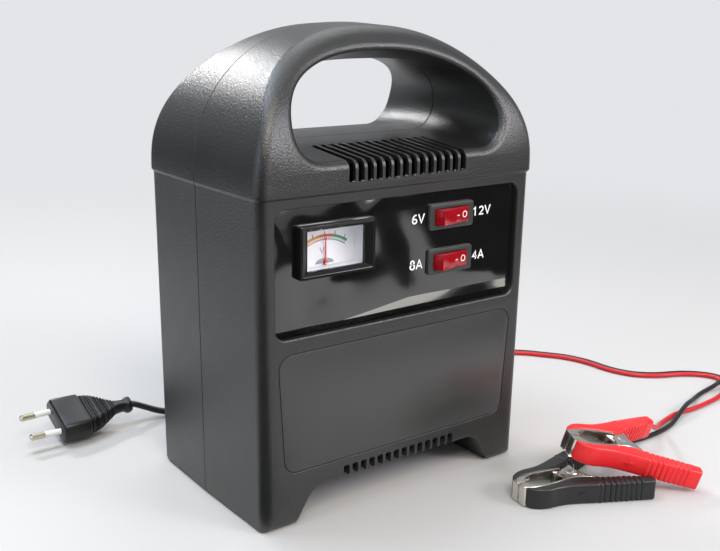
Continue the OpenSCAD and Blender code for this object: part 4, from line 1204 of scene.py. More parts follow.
            obj = make_mesh("rear_half", (points * [1, -1, 1], faces))
        tidy(obj.data, 34.0)
        return obj

    def build(self) -> None:
        """Makes and dresses both halves."""
        label = Label()
        front = [
            self.vents(175.6, self.grip_floor + 6, self.front - 1, self.front + 36),
            self.lipped(lambda g: rounded_rect(158 + 2 * g, 64 + 2 * g, 6 + g, (0, PANEL_Z), 8), -52.4, 1.1, 5),
            self.lipped(label.ring, self.front + 2.3, 0.35, 4),
            *self.panel_holes(-54, -49),
        ]
        front += [self.rod(at, self.parting - 18, self.parting + 1, 2.0) for at in self.screws]
        dress(self.shell(Half.FRONT, front), "abs_housing", nodes=["front_shell"])
        rear = [self.rod(at, self.front - 1, -11, 4.0) for at in self.screws]
        rear += [self.rod(at, self.front, -self.parting + 1, 2.2) for at in self.screws]
        rear += [self.rod((x, 34.0), self.front - 1, self.front + 6, 5.0) for x in (-50, 55)]
        # The rear half takes the darker copy of the housing ABS, which is painted shade.
        dress(self.shell(Half.REAR, rear), "abs_rear_housing_painted_shade", nodes=["rear_shell"])


def read_solid(obj: Piece) -> Solid:
    """Vertices in mm and faces of a mesh object.

    Args:
        obj: Mesh object at the origin.

    Returns:
        Vertices and faces.
    """
    co = np.empty(len(obj.data.vertices) * 3)
    obj.data.vertices.foreach_get("co", co)
    return co.reshape(-1, 3) / MM, [list(p.vertices) for p in obj.data.polygons]


@dataclass
class Label:
    """Bare satin film with rounded corners, slightly narrower at its foot."""

    low: float = 30.2
    high: float = 93.7
    low_width: float = 149.0
    high_width: float = 155.0
    corner: float = 8.0
    face: float = -56.4
    thick: float = 0.7

    def ring(self, g: float) -> Array:
        """Outline of the label: four corner arcs on the two widths.

        Args:
            g: Growth all round.

        Returns:
            Points x 2.
        """
        top, foot = self.high - self.corner, self.low + self.corner
        wide, narrow = self.high_width / 2 - self.corner, self.low_width / 2 - self.corner
        return quarters(quarter_arc(self.corner + g, 8), [(wide, top), (-wide, top), (-narrow, foot), (narrow, foot)])

    def build(self) -> None:
        """Makes the film with an eased rim."""
        rings = upright(eased_prism(self.ring(-0.3), self.face, self.face + self.thick, 0.12, 2))
        dress(make_mesh("label_film", loft(rings)), "satin_label_film", nodes=["label_plate"])


# Panel


@dataclass
class Panel:
    """Gloss film plate in the recess, with the marks that name each switch position."""

    width: float = 157.4
    height: float = 63.4
    corner: float = 5.7
    z: float = PANEL_Z
    face: float = -53.5
    back: float = -52.4
    mark_height: float = 5.1
    marks: tuple[tuple[str, float, float], ...] = (
        ("6V", 10.2, VOLTAGE_Z),
        ("12V", 55.2, VOLTAGE_Z),
        ("8A", 9.6, CURRENT_Z),
        ("4A", 53.6, CURRENT_Z),
    )

    def build(self) -> None:
        """Makes the plate, cut for the meter and the switches, and its marks."""
        outline = rounded_rect(self.width, self.height, self.corner, (0, self.z), 8)
        plate = make_mesh("panel_plate", loft(upright(eased_prism(outline, self.face, self.back, 0.25, 3))))
        carve(plate, Housing().panel_holes(-55, -50))
        tidy(plate.data, 30)
        dress(plate, "gloss_panel_film", nodes=["control_fascia"])
        for text, x, z in self.marks:
            mark = lettering(text, self.mark_height, (x, self.face - 0.03, z), weight=0.155)
            mark.name = f"mark_{text}"
            dress(mark, "white_print_ink")


@dataclass
class Meter:
    """Moving-coil voltmeter: mitred bezel, clear window, pale case, printed dial and needle."""

    x: float = METER_AT[0]
    z: float = METER_AT[1]
    width: float = 45.4
    height: float = 27.0
    face: float = -57.5
    base: float = -53.5
    dial: float = -44.6
    pivot_z: float = 134.1
    arc_centre_z: float = 122.9

    def bezel(self) -> Solid:
        """Rings from the outer foot over the face to the window: step, mitre, straight wall.

        Returns:
            Closed solid.
        """
        rows = [
            (self.width, self.height, 1.3, self.base),
            (self.width, self.height, 1.3, self.face + 0.9),
            (self.width - 0.4, self.height - 0.4, 1.1, self.face + 0.35),
            (self.width - 1.1, self.height - 1.1, 0.9, self.face),
            (self.width - 3.0, self.height - 3.0, 0.5, self.face),
            (self.width - 3.5, self.height - 3.5, 0.4, self.face + 0.12),
            (34.8, 20.3, 0.2, self.face + 2.0),
            (34.5, 20.0, 0.2, self.face + 2.3),
            (34.5, 20.0, 0.2, self.base),
        ]
        rings = rect_rings(rows, (self.x, self.z))
        m, n = rings.shape[:2]
        verts, faces = loft(rings, capped=False)
        return verts, faces + bridge(0, (m - 1) * n, n)

    def arc_band(self, inner: float, outer: float, steps: int = 48) -> tuple[Solid, Array]:
        """Thin printed band between two radii, over the sweep of the scale.

        Args:
            inner: Inner radius.
            outer: Outer radius.
            steps: Segments along it.

        Returns:
            The solid and its place along the sweep, 0 to 1.
        """
        a = np.radians(np.linspace(123, 57, steps + 1))[:, None]
        radius = np.array([[inner, outer, outer, inner]])
        depth = self.dial - np.array([0.02, 0.02, 0.06, 0.06]) + 0 * a
        ring = np.stack([self.x + radius * np.cos(a), depth, self.arc_centre_z + radius * np.sin(a)], axis=-1)
        return loft(ring), np.repeat(np.linspace(0, 1, len(a)), 4)

    def ticks(self, angles: Sequence[float], inner: float, outer: float, wide: float) -> Solid:
        """Short printed lines across the scale.

        Args:
            angles: Where they stand, in degrees.
            inner: Inner radius.
            outer: Outer radius.
            wide: Their width.

        Returns:
            The lines as one solid.
        """
        out = []
        for angle in angles:
            a = math.radians(angle)
            along, side = np.array([math.cos(a), math.sin(a)]), np.array([-math.sin(a), math.cos(a)])
            corners = [
                along * r + side * s * wide / 2 + [self.x, self.arc_centre_z]
                for r, s in ((inner, -1), (outer, -1), (outer, 1), (inner, 1))
            ]
            out.append(Housing().block(np.array(corners), self.dial - 0.1, self.dial - 0.02))
        return join(*out)

    def build(self) -> None:
        """Makes the bezel, the dial's print, its hub and the needle; other nodes are dressed."""
        frame = make_mesh("meter_frame", self.bezel(), angle=25)
        dress(frame, "abs_bezel", nodes=["meter_bezel"])
        for inner, outer, tag in ((24.2, 25.6, "lower"), (22.6, 23.1, "thin")):
            solid, along = self.arc_band(inner, outer)
            dress(make_mesh(f"scale_{tag}", solid, {"along": along}), "scale_print_ink")
        fine = np.linspace(121, 59, 21)
        dress(make_mesh("scale_ticks", self.ticks(fine, 23.1, 24.2, 0.22)), "dark_print_ink")
        dress(make_mesh("scale_main_ticks", self.ticks((106, 90, 76, 62), 24.6, 27.2, 0.35)), "dark_print_ink")
        letter = lettering("V", 3.2, (self.x - 1.6, self.dial - 0.06, self.pivot_z + 6.2), weight=0.12)
        letter.name = "dial_unit"
        dress(letter, "grey_print_ink")
        a = np.linspace(0, math.pi, 25)
        dome = np.column_stack([self.x + 5.6 * np.cos(a), 133.6 + 2.7 * np.sin(a)])
        rings = upright(eased_prism(dome, self.dial - 0.25, self.dial, 0.2, 2))
        dress(make_mesh("dial_hub_plate", loft(rings)), "hub_styrene")
        self.needle()

    def needle(self) -> None:
        """Tapered pointer on a round boss, riding on its own body."""
        rows = []
        for t in np.linspace(0, 1, 9):
            half = 0.42 * (1 - t) + 0.16 * t
            corners = np.array([[-half, -0.2, 0], [half, -0.2, 0], [half, 0.2, 0], [-half, 0.2, 0]])
            rows.append(corners + [self.x, self.dial - 1.1, self.pivot_z + 0.9 + 11.9 * t])
        sides = 28
        profile = [(0.86, -0.35), (1.08, -0.35), (1.2, -0.5), (1.2, -1.5), (1.05, -1.75), (0.86, -1.75)]
        at = [self.x, self.pivot_z]
        boss = [np.insert(r * circle(sides) + at, 1, self.dial + y, axis=1) for r, y in profile]
        verts, faces = loft(np.stack(boss), capped=False)
        faces += bridge(0, (len(profile) - 1) * sides, sides)
        obj = make_mesh("needle_pointer", join(loft(np.stack(rows)), (verts, faces)))
        dress(obj, "needle_enamel", "meter_needle", ["meter_needle"])


@dataclass
class Switch:
    """Snap-in rocker switch: a flat frame and a translucent rocker with its two marks."""

    name: str
    z: float
    x: float = SWITCH_X
    width: float = 30.8
    height: float = 13.8
    front: float = -55.3
    pivot_y: float = -53.3
    rocker_half: float = 10.4
    rocker_face: float = 4.9
    dip: float = 0.35
    swing: float = 11.3
    rocker_height: float = 8.3
    tilt: float = 12.0

    def frame(self) -> Solid:
        """Flat frame: rounded outer rim, level face, eased opening and a straight bore.

        Returns:
            Closed solid with the body behind the panel.
        """
        rows = [
            (self.width, self.height, 1.6, -53.5),
            (self.width, self.height, 1.6, self.front + 0.45),
            (self.width - 0.3, self.height - 0.3, 1.5, self.front + 0.12),
            (self.width - 0.9, self.height - 0.9, 1.2, self.front),
            (23.8, 9.2, 0.6, self.front),
            (23.3, 8.7, 0.4, self.front + 0.25),
            (23.2, 8.6, 0.4, self.front + 0.6),
            (23.2, 8.6, 0.4, -41.5),
        ]
        rings = rect_rings(rows, (self.x, self.z))
        n = rings.shape[1]
        verts, faces = loft(rings, capped=False)
        outer = rect_rings([(27.0, 11.6, 0.4, -53.5), (27.0, 11.6, 0.4, -35.5)], (self.x, self.z))
        base = len(verts)
        faces += bridge(0, base, n) + bridge(base, base + n, n)
        faces += [list(range(base + n, base + 2 * n)), list(range(base - n, base))]
        return np.concatenate([verts, *outer]), faces

    def profile(self) -> Array:
        """Rocker in plan: two hollowed faces that meet in a ridge, and curved end walls.

        Returns:
            Closed outline, points x 2.
        """
        s = np.linspace(0, 1, 8)
        dip = self.dip * (1 + np.sin(s * math.pi) - s)
        hollow = np.column_stack([0.25 + s * (self.rocker_half - 0.25), dip - self.rocker_face])
        a = np.radians(np.linspace(-20, 16, 9))
        wall = np.column_stack([self.swing * np.cos(a), self.swing * np.sin(a)])
        corner = [[self.rocker_half + 0.25, -self.rocker_face + 0.3]]
        right = np.concatenate([hollow, corner, wall, [[4.4, 4.6], [2.0, 8.0]]])
        return np.concatenate([right, right[::-1] * [-1, 1]])

    def turn(self, points: Array) -> Array:
        """Tilts points about the pivot, from the rocker's own plan to the frame.

        Args:
            points: Points x 3 in plan.

        Returns:
            The points in the frame.
        """
        a = math.radians(self.tilt)
        x = points[..., 0] * math.cos(a) - points[..., 1] * math.sin(a)
        y = points[..., 0] * math.sin(a) + points[..., 1] * math.cos(a)
        return np.stack([x + self.x, y + self.pivot_y, points[..., 2] + self.z], axis=-1)

    def build(self) -> None:
        """Makes the frame, the rocker and its marks."""
        body = f"{self.name}_rocker"
        frame = make_mesh(f"{self.name}_switch_frame", self.frame(), angle=30)
        dress(frame, "abs_switch_frame", nodes=[f"{self.name}_switch_body"])
        half = self.rocker_height / 2
        spans = ((-half - 0.85, -half + 0.4), (half - 0.4, half + 0.85))
        stubs = [loft(np.stack([np.insert(circle(24), 2, z, axis=1) for z in span])) for span in spans]
        whole = join(loft(eased_prism(self.profile(), -half, half, 0.3, 3)), *stubs)
        rocker = make_mesh(f"{self.name}_rocker_key", (self.turn(whole[0]), whole[1]), angle=28)
        dress(rocker, "rocker_polycarbonate", body, [body])
        self.marks(body)

    def marks(self, body: str) -> None:
        """Dash near the ridge and ring near the right end, on the right face.

        Args:
            body: Body of the rocker.
        """
        edge = self.profile()[:8]
        dash = rounded_rect(1.9, 0.5, 0.1, (1.9, 0), 2)
        ring = [circle(32) * size + [7.5, 0.0] for size in ([1.75, 1.8], [1.3, 1.35])]
        order = (ring[0], ring[0], ring[1], ring[1])
        solids = []
        for rows, lifts, capped in (((dash, dash), (-0.07, 0.1), True), (order, (0.1, -0.07, -0.07, 0.1), False)):
            stack = [
                np.column_stack([p[:, 0], np.interp(p[:, 0], edge[:, 0], edge[:, 1]) + lift, p[:, 1]])
                for p, lift in zip(rows, lifts)
            ]
            solids.append(loft(np.stack(stack), capped=capped))
        solids[1][1].extend(bridge(0, 96, 32))
        whole = join(*solids)
        obj = make_mesh(f"{self.name}_rocker_marks", (self.turn(whole[0]), whole[1]))
        dress(obj, "white_print_ink", body)


# Cords


def coil_line(centre: Spot, r_out: float, turns: float, w: float, h: float, a0: float, way: int) -> Array:
    """Two-layer coil: in by one pitch a turn, up one layer in half a turn, then out again.

    Args:
        centre: Centre on the floor.
        r_out: Radius at its start.
        turns: Number of turns.
        w: Width of the cord.
        h: Height of the cord.
        a0: Start angle in degrees.
        way: 1 anticlockwise, -1 clockwise.

    Returns:
        Centre line, a cord width straight at both ends.
    """
    pitch, lift = w + 0.6, h + 0.6
    t = (turns - 0.5) / 2
    s = np.linspace(0, turns, round(turns * 24) + 1)
    u = s - t - 0.5
    r = np.where(u < 0, r_out - pitch * s, r_out - pitch * (t + 0.5) + pitch * np.minimum(u * 2.5, u + 0.87))
    c = np.clip((s - t) / 0.5, 0, 1)
    a = np.radians(a0 + way * 360 * s)
    z = h / 2 + lift * c * c * (3 - 2 * c)
    loops = np.column_stack([centre[0] + r * np.cos(a), centre[1] + r * np.sin(a), z])
    ends = [np.array([-math.sin(v), math.cos(v), 0.0]) * way for v in (a[0], a[-1])]
    return np.concatenate([[loops[0] - ends[0] * w], loops, [loops[-1] + ends[1] * w]])


def lobed_section(w: float, h: float, reach: float = math.pi / 2, steps: int = 6) -> Array:
    """Section of two round lobes: half circles with flat sides, or cores that meet in a narrow web.

    Args:
        w: Width over both.
        h: Thickness.
        reach: How far round from its outer point each side of a lobe is drawn.
        steps: Segments in each side.

    Returns:
        Anticlockwise points x 2.
    """
    a = np.linspace(-reach, reach, 2 * steps + 1)
    right = np.column_stack([w / 2 - h / 2 + h / 2 * np.cos(a), h / 2 * np.sin(a)])
    return np.concatenate([right, -right])


@dataclass
class Cords:
    """Mains cord with its plug end, the twin charging lead and the two single leads."""

    mains_w: float = 5.4
    mains_t: float = 3.4
    lead_w: float = 6.2
    lead_t: float = 3.1
    single: float = 3.0
    mains_coil: Spot = (24, 142)
    lead_coil: Spot = (316, -106)
    coil_radius: float = 40
    mains_out: Place = (-50.0, 86.0, 34.0)
    lead_out: Place = (55.0, 86.0, 34.0)
    mains_route: Route = (
        (-50, 93, 33.2), (-49, 101, 28.6), (-46, 109, 20.5), (-41, 116.5, 11.5), (-33.5, 122, 4.8),
        (-25, 126, 2.2), (-18.6, 130.8, 1.7),
    )
    mains_end: Route = (
        (5, 102.4, 4.6), (-9, 103.6, 2.8), (-24, 105.6, 1.8), (-39, 108, 1.7), (-52, 110.4, 2),
        (-63, 112.6, 4.6), (-72.5, 114.2, 9),
    )
    lead_route: Route = (
        (55.3, 94, 33.4), (57.4, 102, 28.5), (62, 110, 20), (70, 116.5, 11), (82, 121, 4.6), (97, 122.5, 2),
        (118, 119.5, 1.6), (141, 112, 1.6), (164, 102.5, 1.6), (186, 91, 1.6), (205, 79, 1.6), (221, 66.6, 1.6),
        (230.5, 55, 1.6), (240.5, 41, 1.6), (246, 24, 1.6), (247.6, 4, 1.6), (254, -12, 1.6),
        (267, -23.4, 1.6), (283.7, -31, 1.6), (295.5, -41, 1.6), (300, -51, 1.6), (296.5, -60, 1.6),
        (288, -69, 1.6), (279, -80, 1.6), (273, -94, 1.6), (272, -109, 1.6),
    )
    black_route: Route = (
        (303, -64, 5.2), (296, -63, 5.2), (288, -62, 4.4), (280, -61.8, 2.4), (271, -62.4, 1.5),
        (262, -64, 1.5), (252, -67, 1.8), (243, -70.6, 3), (235, -73.8, 4.4), (227.5, -76.6, 4.8),
        (220, -79.4, 4.5), (211, -82.4, 2.6), (200, -86, 1.5), (188, -88.6, 1.5), (175, -89.4, 1.5),
        (162, -88.8, 1.6), (150, -87.2, 2.6), (140, -85.2, 4.4),
    )
    red_route: Route = (
        (303, -67.4, 5.2), (296, -69.1, 5.2), (288, -71.6, 5.2), (279, -73.4, 4.8), (270, -74.8, 2.4),
        (261, -75.8, 1.5), (251.5, -76.8, 1.5), (242.5, -77.4, 1.5), (233.5, -77.8, 1.5),
        (225, -77, 1.5), (216, -77, 1.5), (207, -78.6, 1.5), (199, -80.6, 1.8), (191, -83.8, 3),
        (183.5, -88, 5), (177, -92, 7.4), (171, -95.4, 9.8),
    )

    def lay(
        self, name: str, path: Array, section: Array, finish_name: str, width: float, far_end: str,
        nodes: Sequence[str], slot: str, body: str | None = "charger", extra: Sequence[object] = (),
        ends: tuple[Array | None, Array | None] = (None, None), stiffness: str = "medium", lay: str = "loose",
    ) -> Piece:
        """Args:
            name: Name of the piece.
            path: Centre line.
            section: Its section.
            finish_name: Key in FINISHES.
            width: Diameter, or width of a flat cord. Not used.
            far_end: What is on its far end. Not used.
            nodes: Nodes it replaces.
            slot: Material slot of the record. Not used.
            body: Body it rides on, or None to leave it unattached.
            extra: Separate pieces on it. Not used.
            ends: Directions at its ends.
            stiffness: How stiff it is. Not used.
            lay: How it lies. Not used.

        Returns:
            The piece.
        """
        rings = swept(path, section, *ends)
        across = np.tile(np.where(section[:, 0] > 0, 1.0, 0.0), len(path))
        obj = make_mesh(name, loft(rings), {"across": across}, angle=70)
        dress(obj, finish_name, body, nodes)
        return obj

    def mains(self, plug_tail: Array, plug_pieces: Sequence[object]) -> None:
        """Mains cord: down from its outlet, two layers of coil, then out to the plug.

        Args:
            plug_tail: Where it enters the plug.
            plug_pieces: The plug's pieces.
        """
        coil = coil_line(self.mains_coil, self.coil_radius, 5.75, self.mains_w, self.mains_t, 180, -1)
        back, left = np.array([0.0, 1, 0]), np.array([-1.0, 0, 0])
        start = smooth_path(np.array([self.mains_out, *self.mains_route, coil[0]]), 4, back, coil[1] - coil[0])
        end = smooth_path(np.array([coil[-1], *self.mains_end, plug_tail]), 4, coil[-1] - coil[-2], left)
        path = np.concatenate([start[:-1], coil, end[1:]])
        self.lay(
            "mains_lead", path, lobed_section(self.mains_w, self.mains_t), "black_pvc_jacket", self.mains_w, "plug",
            ["mains_cord", "mains_coil", "mains_cord_end"], "cord_black", extra=plug_pieces,
            ends=(back, left), lay="coiled",
        )
        self.tie("mains_tie", coil, self.mains_coil, 300, self.mains_w, self.mains_t)

    def twin(self) -> Array:
        """Twin charging lead, from its outlet to the end of its coil.

        Returns:
            The coil's centre line.
        """
        coil = coil_line(self.lead_coil, self.coil_radius, 4.65, self.lead_w, self.lead_t, 216, 1)
        back = np.array([0.0, 1, 0])
        start = smooth_path(np.array([self.lead_out, *self.lead_route, coil[0]]), 3, back, coil[1] - coil[0])
        path = np.concatenate([start[:-1], coil])
        sleeve = self.split_sleeve(coil)
        section = lobed_section(self.lead_w, self.lead_t, math.pi * 0.86, 7)
        self.lay(
            "charging_lead", path, section, "twin_pvc_jacket", self.lead_w, "fitting", ["dc_lead", "dc_coil"],
            "lead_twin", ends=(back, coil[-1] - coil[-2]), extra=[sleeve], lay="coiled",
        )
        self.tie("lead_tie", coil, self.lead_coil, 330, self.lead_w, self.lead_t)
        return coil

    def split_sleeve(self, coil: Array) -> Piece:
        """Short oval sleeve over the end of the twin lead, where it divides.

        Args:
            coil: Centre line of the coil.

        Returns:
            The piece.
        """
        way = coil[-1] - coil[-2]
        way = way / np.linalg.norm(way)
        path = coil[-1] + way * np.linspace(-5.0, 1.6, 9)[:, None]
        grow = np.array([0.1, 0.32, 0.42, 0.45, 0.45, 0.45, 0.42, 0.32, 0.1])
        base = lobed_section(self.lead_w, self.lead_t)
        rings = np.stack([swept(path, base * (1 + 2 * g / self.lead_w))[k] for k, g in enumerate(grow)])
        return dress(make_mesh("lead_split_sleeve", loft(rings), angle=60), "black_pvc_moulded")

    def tie(self, name: str, coil: Array, centre: Spot, angle: float, w: float, h: float) -> None:
        """Thin band round both layers of a coil: a rounded rectangle in a radial plane.

        Args:
            name: Name of the piece.
            coil: Centre line of the coil.
            centre: Its centre.
            angle: Where the band sits, in degrees.
            w: Width of the cord.
            h: Height of the cord.
        """
        a = math.radians(angle)
        rel = coil[1:-1, :2] - np.array(centre)
        turn = np.degrees(np.arctan2(rel[:, 1], rel[:, 0])) % 360
        near = np.abs((turn - angle + 180) % 360 - 180) < 9
        r = np.linalg.norm(rel[near], axis=1)
        low, high = r.min() - w / 2 - 0.6, r.max() + w / 2 + 0.6
        top = 2 * h + 1.25
        outline = rounded_rect(high - low, top - 0.02, 1.6, ((low + high) / 2, top / 2), 5)
        inner = inset(outline, 0.5)
        out, side = np.array([math.cos(a), math.sin(a), 0]), np.array([-math.sin(a), math.cos(a), 0])

        def place(p: Array, s: float) -> Array:
            """Puts an outline into the radial plane, s mm along the cord."""
            return np.array([*centre, 0.0]) + out * p[:, :1] + side * s + np.array([0, 0, 1.0]) * p[:, 1:]

        half = 2.2
        rings = np.stack([place(outline, -half), place(outline, half), place(inner, half), place(inner, -half)])
        verts, faces = loft(rings, capped=False)
        n = len(outline)
        dress(make_mesh(name, (verts, faces + bridge(3 * n, 0, n))), "cord_tie_nylon")

    def singles(self, coil: Array, clamps: dict[str, "Clamp"]) -> None:
        """Red and black leads from the split to the far handle of each clamp.

        Args:
            coil: Centre line of the twin lead's coil.
            clamps: The clamps by colour.
        """
        way = coil[-1] - coil[-2]
        way = way / np.linalg.norm(way)
        level = np.array([way[1], -way[0], 0.0])
        round_section = circle(16) * self.single / 2
        # The last number, how much of the lead was to follow the handle (the red one only where it is off the floor),
        # is not used.
        for colour, sign, route, give in (("black", 1, self.black_route, 75.0), ("red", -1, self.red_route, 47.0)):
            clamp = clamps[colour]
            start = coil[-1] + sign * (self.single / 2 + 0.05) * level
            end = clamp.lead_entry()
            inward = -clamp.handle_way()
            free = smooth_path(np.array([start, *route, end]), 4, way, inward)
            path = np.concatenate([free, end + inward * np.linspace(3, 29, 8)[:, None]])
            obj = self.lay(
                f"{colour}_single_lead", path, round_section, f"{colour}_pvc_jacket", self.single, "tool",
                [f"{colour}_lead"], f"lead_{colour}", body=None, ends=(way, inward), stiffness="limp",
                extra=clamp.made,
            )
            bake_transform(obj)


# Plug


@dataclass
class Plug:
    """Flat two-pin plug: six-sided block, ribbed taper, narrow neck and a flared collar."""

    pose: Pose = Pose((-129.4, 114.9, 12.4), (20.5, 0.0, 0.0))
    width: float = 35.3
    thick: float = 13.7
    block: float = 17.0
    neck: float = 31.0

    def section(self, a: float, b: float) -> Array:
        """Six-sided section with rounded corners.

        Args:
            a: Half width.
            b: Half thickness.

        Returns:
            Points x 2.
        """
        flat = a - b * 0.62
        corners = np.array([[a, 0.0], [flat, b], [-flat, b], [-a, 0.0], [-flat, -b], [flat, -b]])
        before, after = np.roll(corners, 1, axis=0), np.roll(corners, -1, axis=0)
        t = np.linspace(0, 1, 5)[None, :, None]
        r = min(2.2, b * 0.32)
        p0, p2 = corners + unit(before - corners) * r, corners + unit(after - corners) * r
        curve = (1 - t) ** 2 * p0[:, None] + 2 * t * (1 - t) * corners[:, None] + t**2 * p2[:, None]
        return curve.reshape(-1, 2)

    def body(self) -> Solid:
        """Loft through stations from the face to the cord: x, half width, half thickness.

        Returns:
            Closed solid in the plug's own frame.
        """
        a, b, k, l = self.width / 2, self.thick / 2, self.block, self.block + self.neck
        rows = [(0.0, a - 1.6, b - 1.4), (0.25, a - 1.0, b - 0.8), (0.8, a - 0.35, b - 0.3), (1.6, a, b)]
        rows += [(k - 3.0, a - 0.3, b), (k - 0.5, a - 0.5, b), (k, a - 0.9, b - 0.35), (k + 0.2, a - 2.2, b - 1.4)]
        rows += [(k + 1.3, a - 2.6, b - 1.5), (k + 1.5, a - 1.9, b - 0.7), (k + 2.2, a - 2.2, b - 0.7)]
        x = np.linspace(k + 2.6, l - 8.0, 64)
        s = (x - x[0]) / (x[-1] - x[0])
        ease = s * s * (3 - 2 * s)
        ridge = 0.34 * np.clip(np.sin((x - x[0]) / 1.75 * 2 * math.pi) * 2.2, -1, 1) * np.clip((0.86 - s) * 8, 0, 1)
        wide = (a - 2.6) * (1 - ease) ** 0.9 + 4.6 * (1 - (1 - ease) ** 0.9)
        high = (b - 0.9) * (1 - ease) + 3.9 * ease
        rows += [(float(u), float(p + q), float(v + q)) for u, p, v, q in zip(x, wide, high, ridge)]
        rows += [(l - 6.4, 4.3, 3.7), (l - 4.6, 4.5, 3.8), (l - 3.6, 5.3, 4.4), (l - 2.6, 5.9, 4.8)]
        rows += [(l - 1.2, 5.9, 4.8), (l - 0.4, 5.6, 4.5), (l, 5.0, 3.9)]
        stack = [np.insert(self.section(p, q), 0, u, axis=1) for u, p, q in rows]
        return loft(np.stack(stack))

    def tail(self) -> Array:
        """Point where the cord enters the plug."""
        return np.array(self.pose.at) + [self.block + self.neck, 0, 0]

    def build(self) -> list[object]:
        """Makes the body with a finger scoop on each edge.

        Returns:
            The plug's pieces for the cord.
        """
        obj = make_mesh("plug_moulding", self.pose.place(self.body()), angle=28)
        outline = rounded_rect(9.5, 5.2, 1.2, (8.6, 0.0), 4)
        edge = self.width / 2
        rows = ((0.8, edge - 0.7), (0.0, edge + 0.1), (0.0, edge + 2))
        scoops = []
        for s in (-1, 1):
            rings = np.stack([np.insert(inset(outline, d), 1, s * y, axis=1) for d, y in rows])
            scoops.append(self.pose.place(loft(rings)))
        carve(obj, scoops)
        tidy(obj.data, 28)
        dress(obj, "black_pvc_moulded", nodes=["plug_body"])
        return [obj, "plug_sleeves", "plug_pins"]


# Clamps


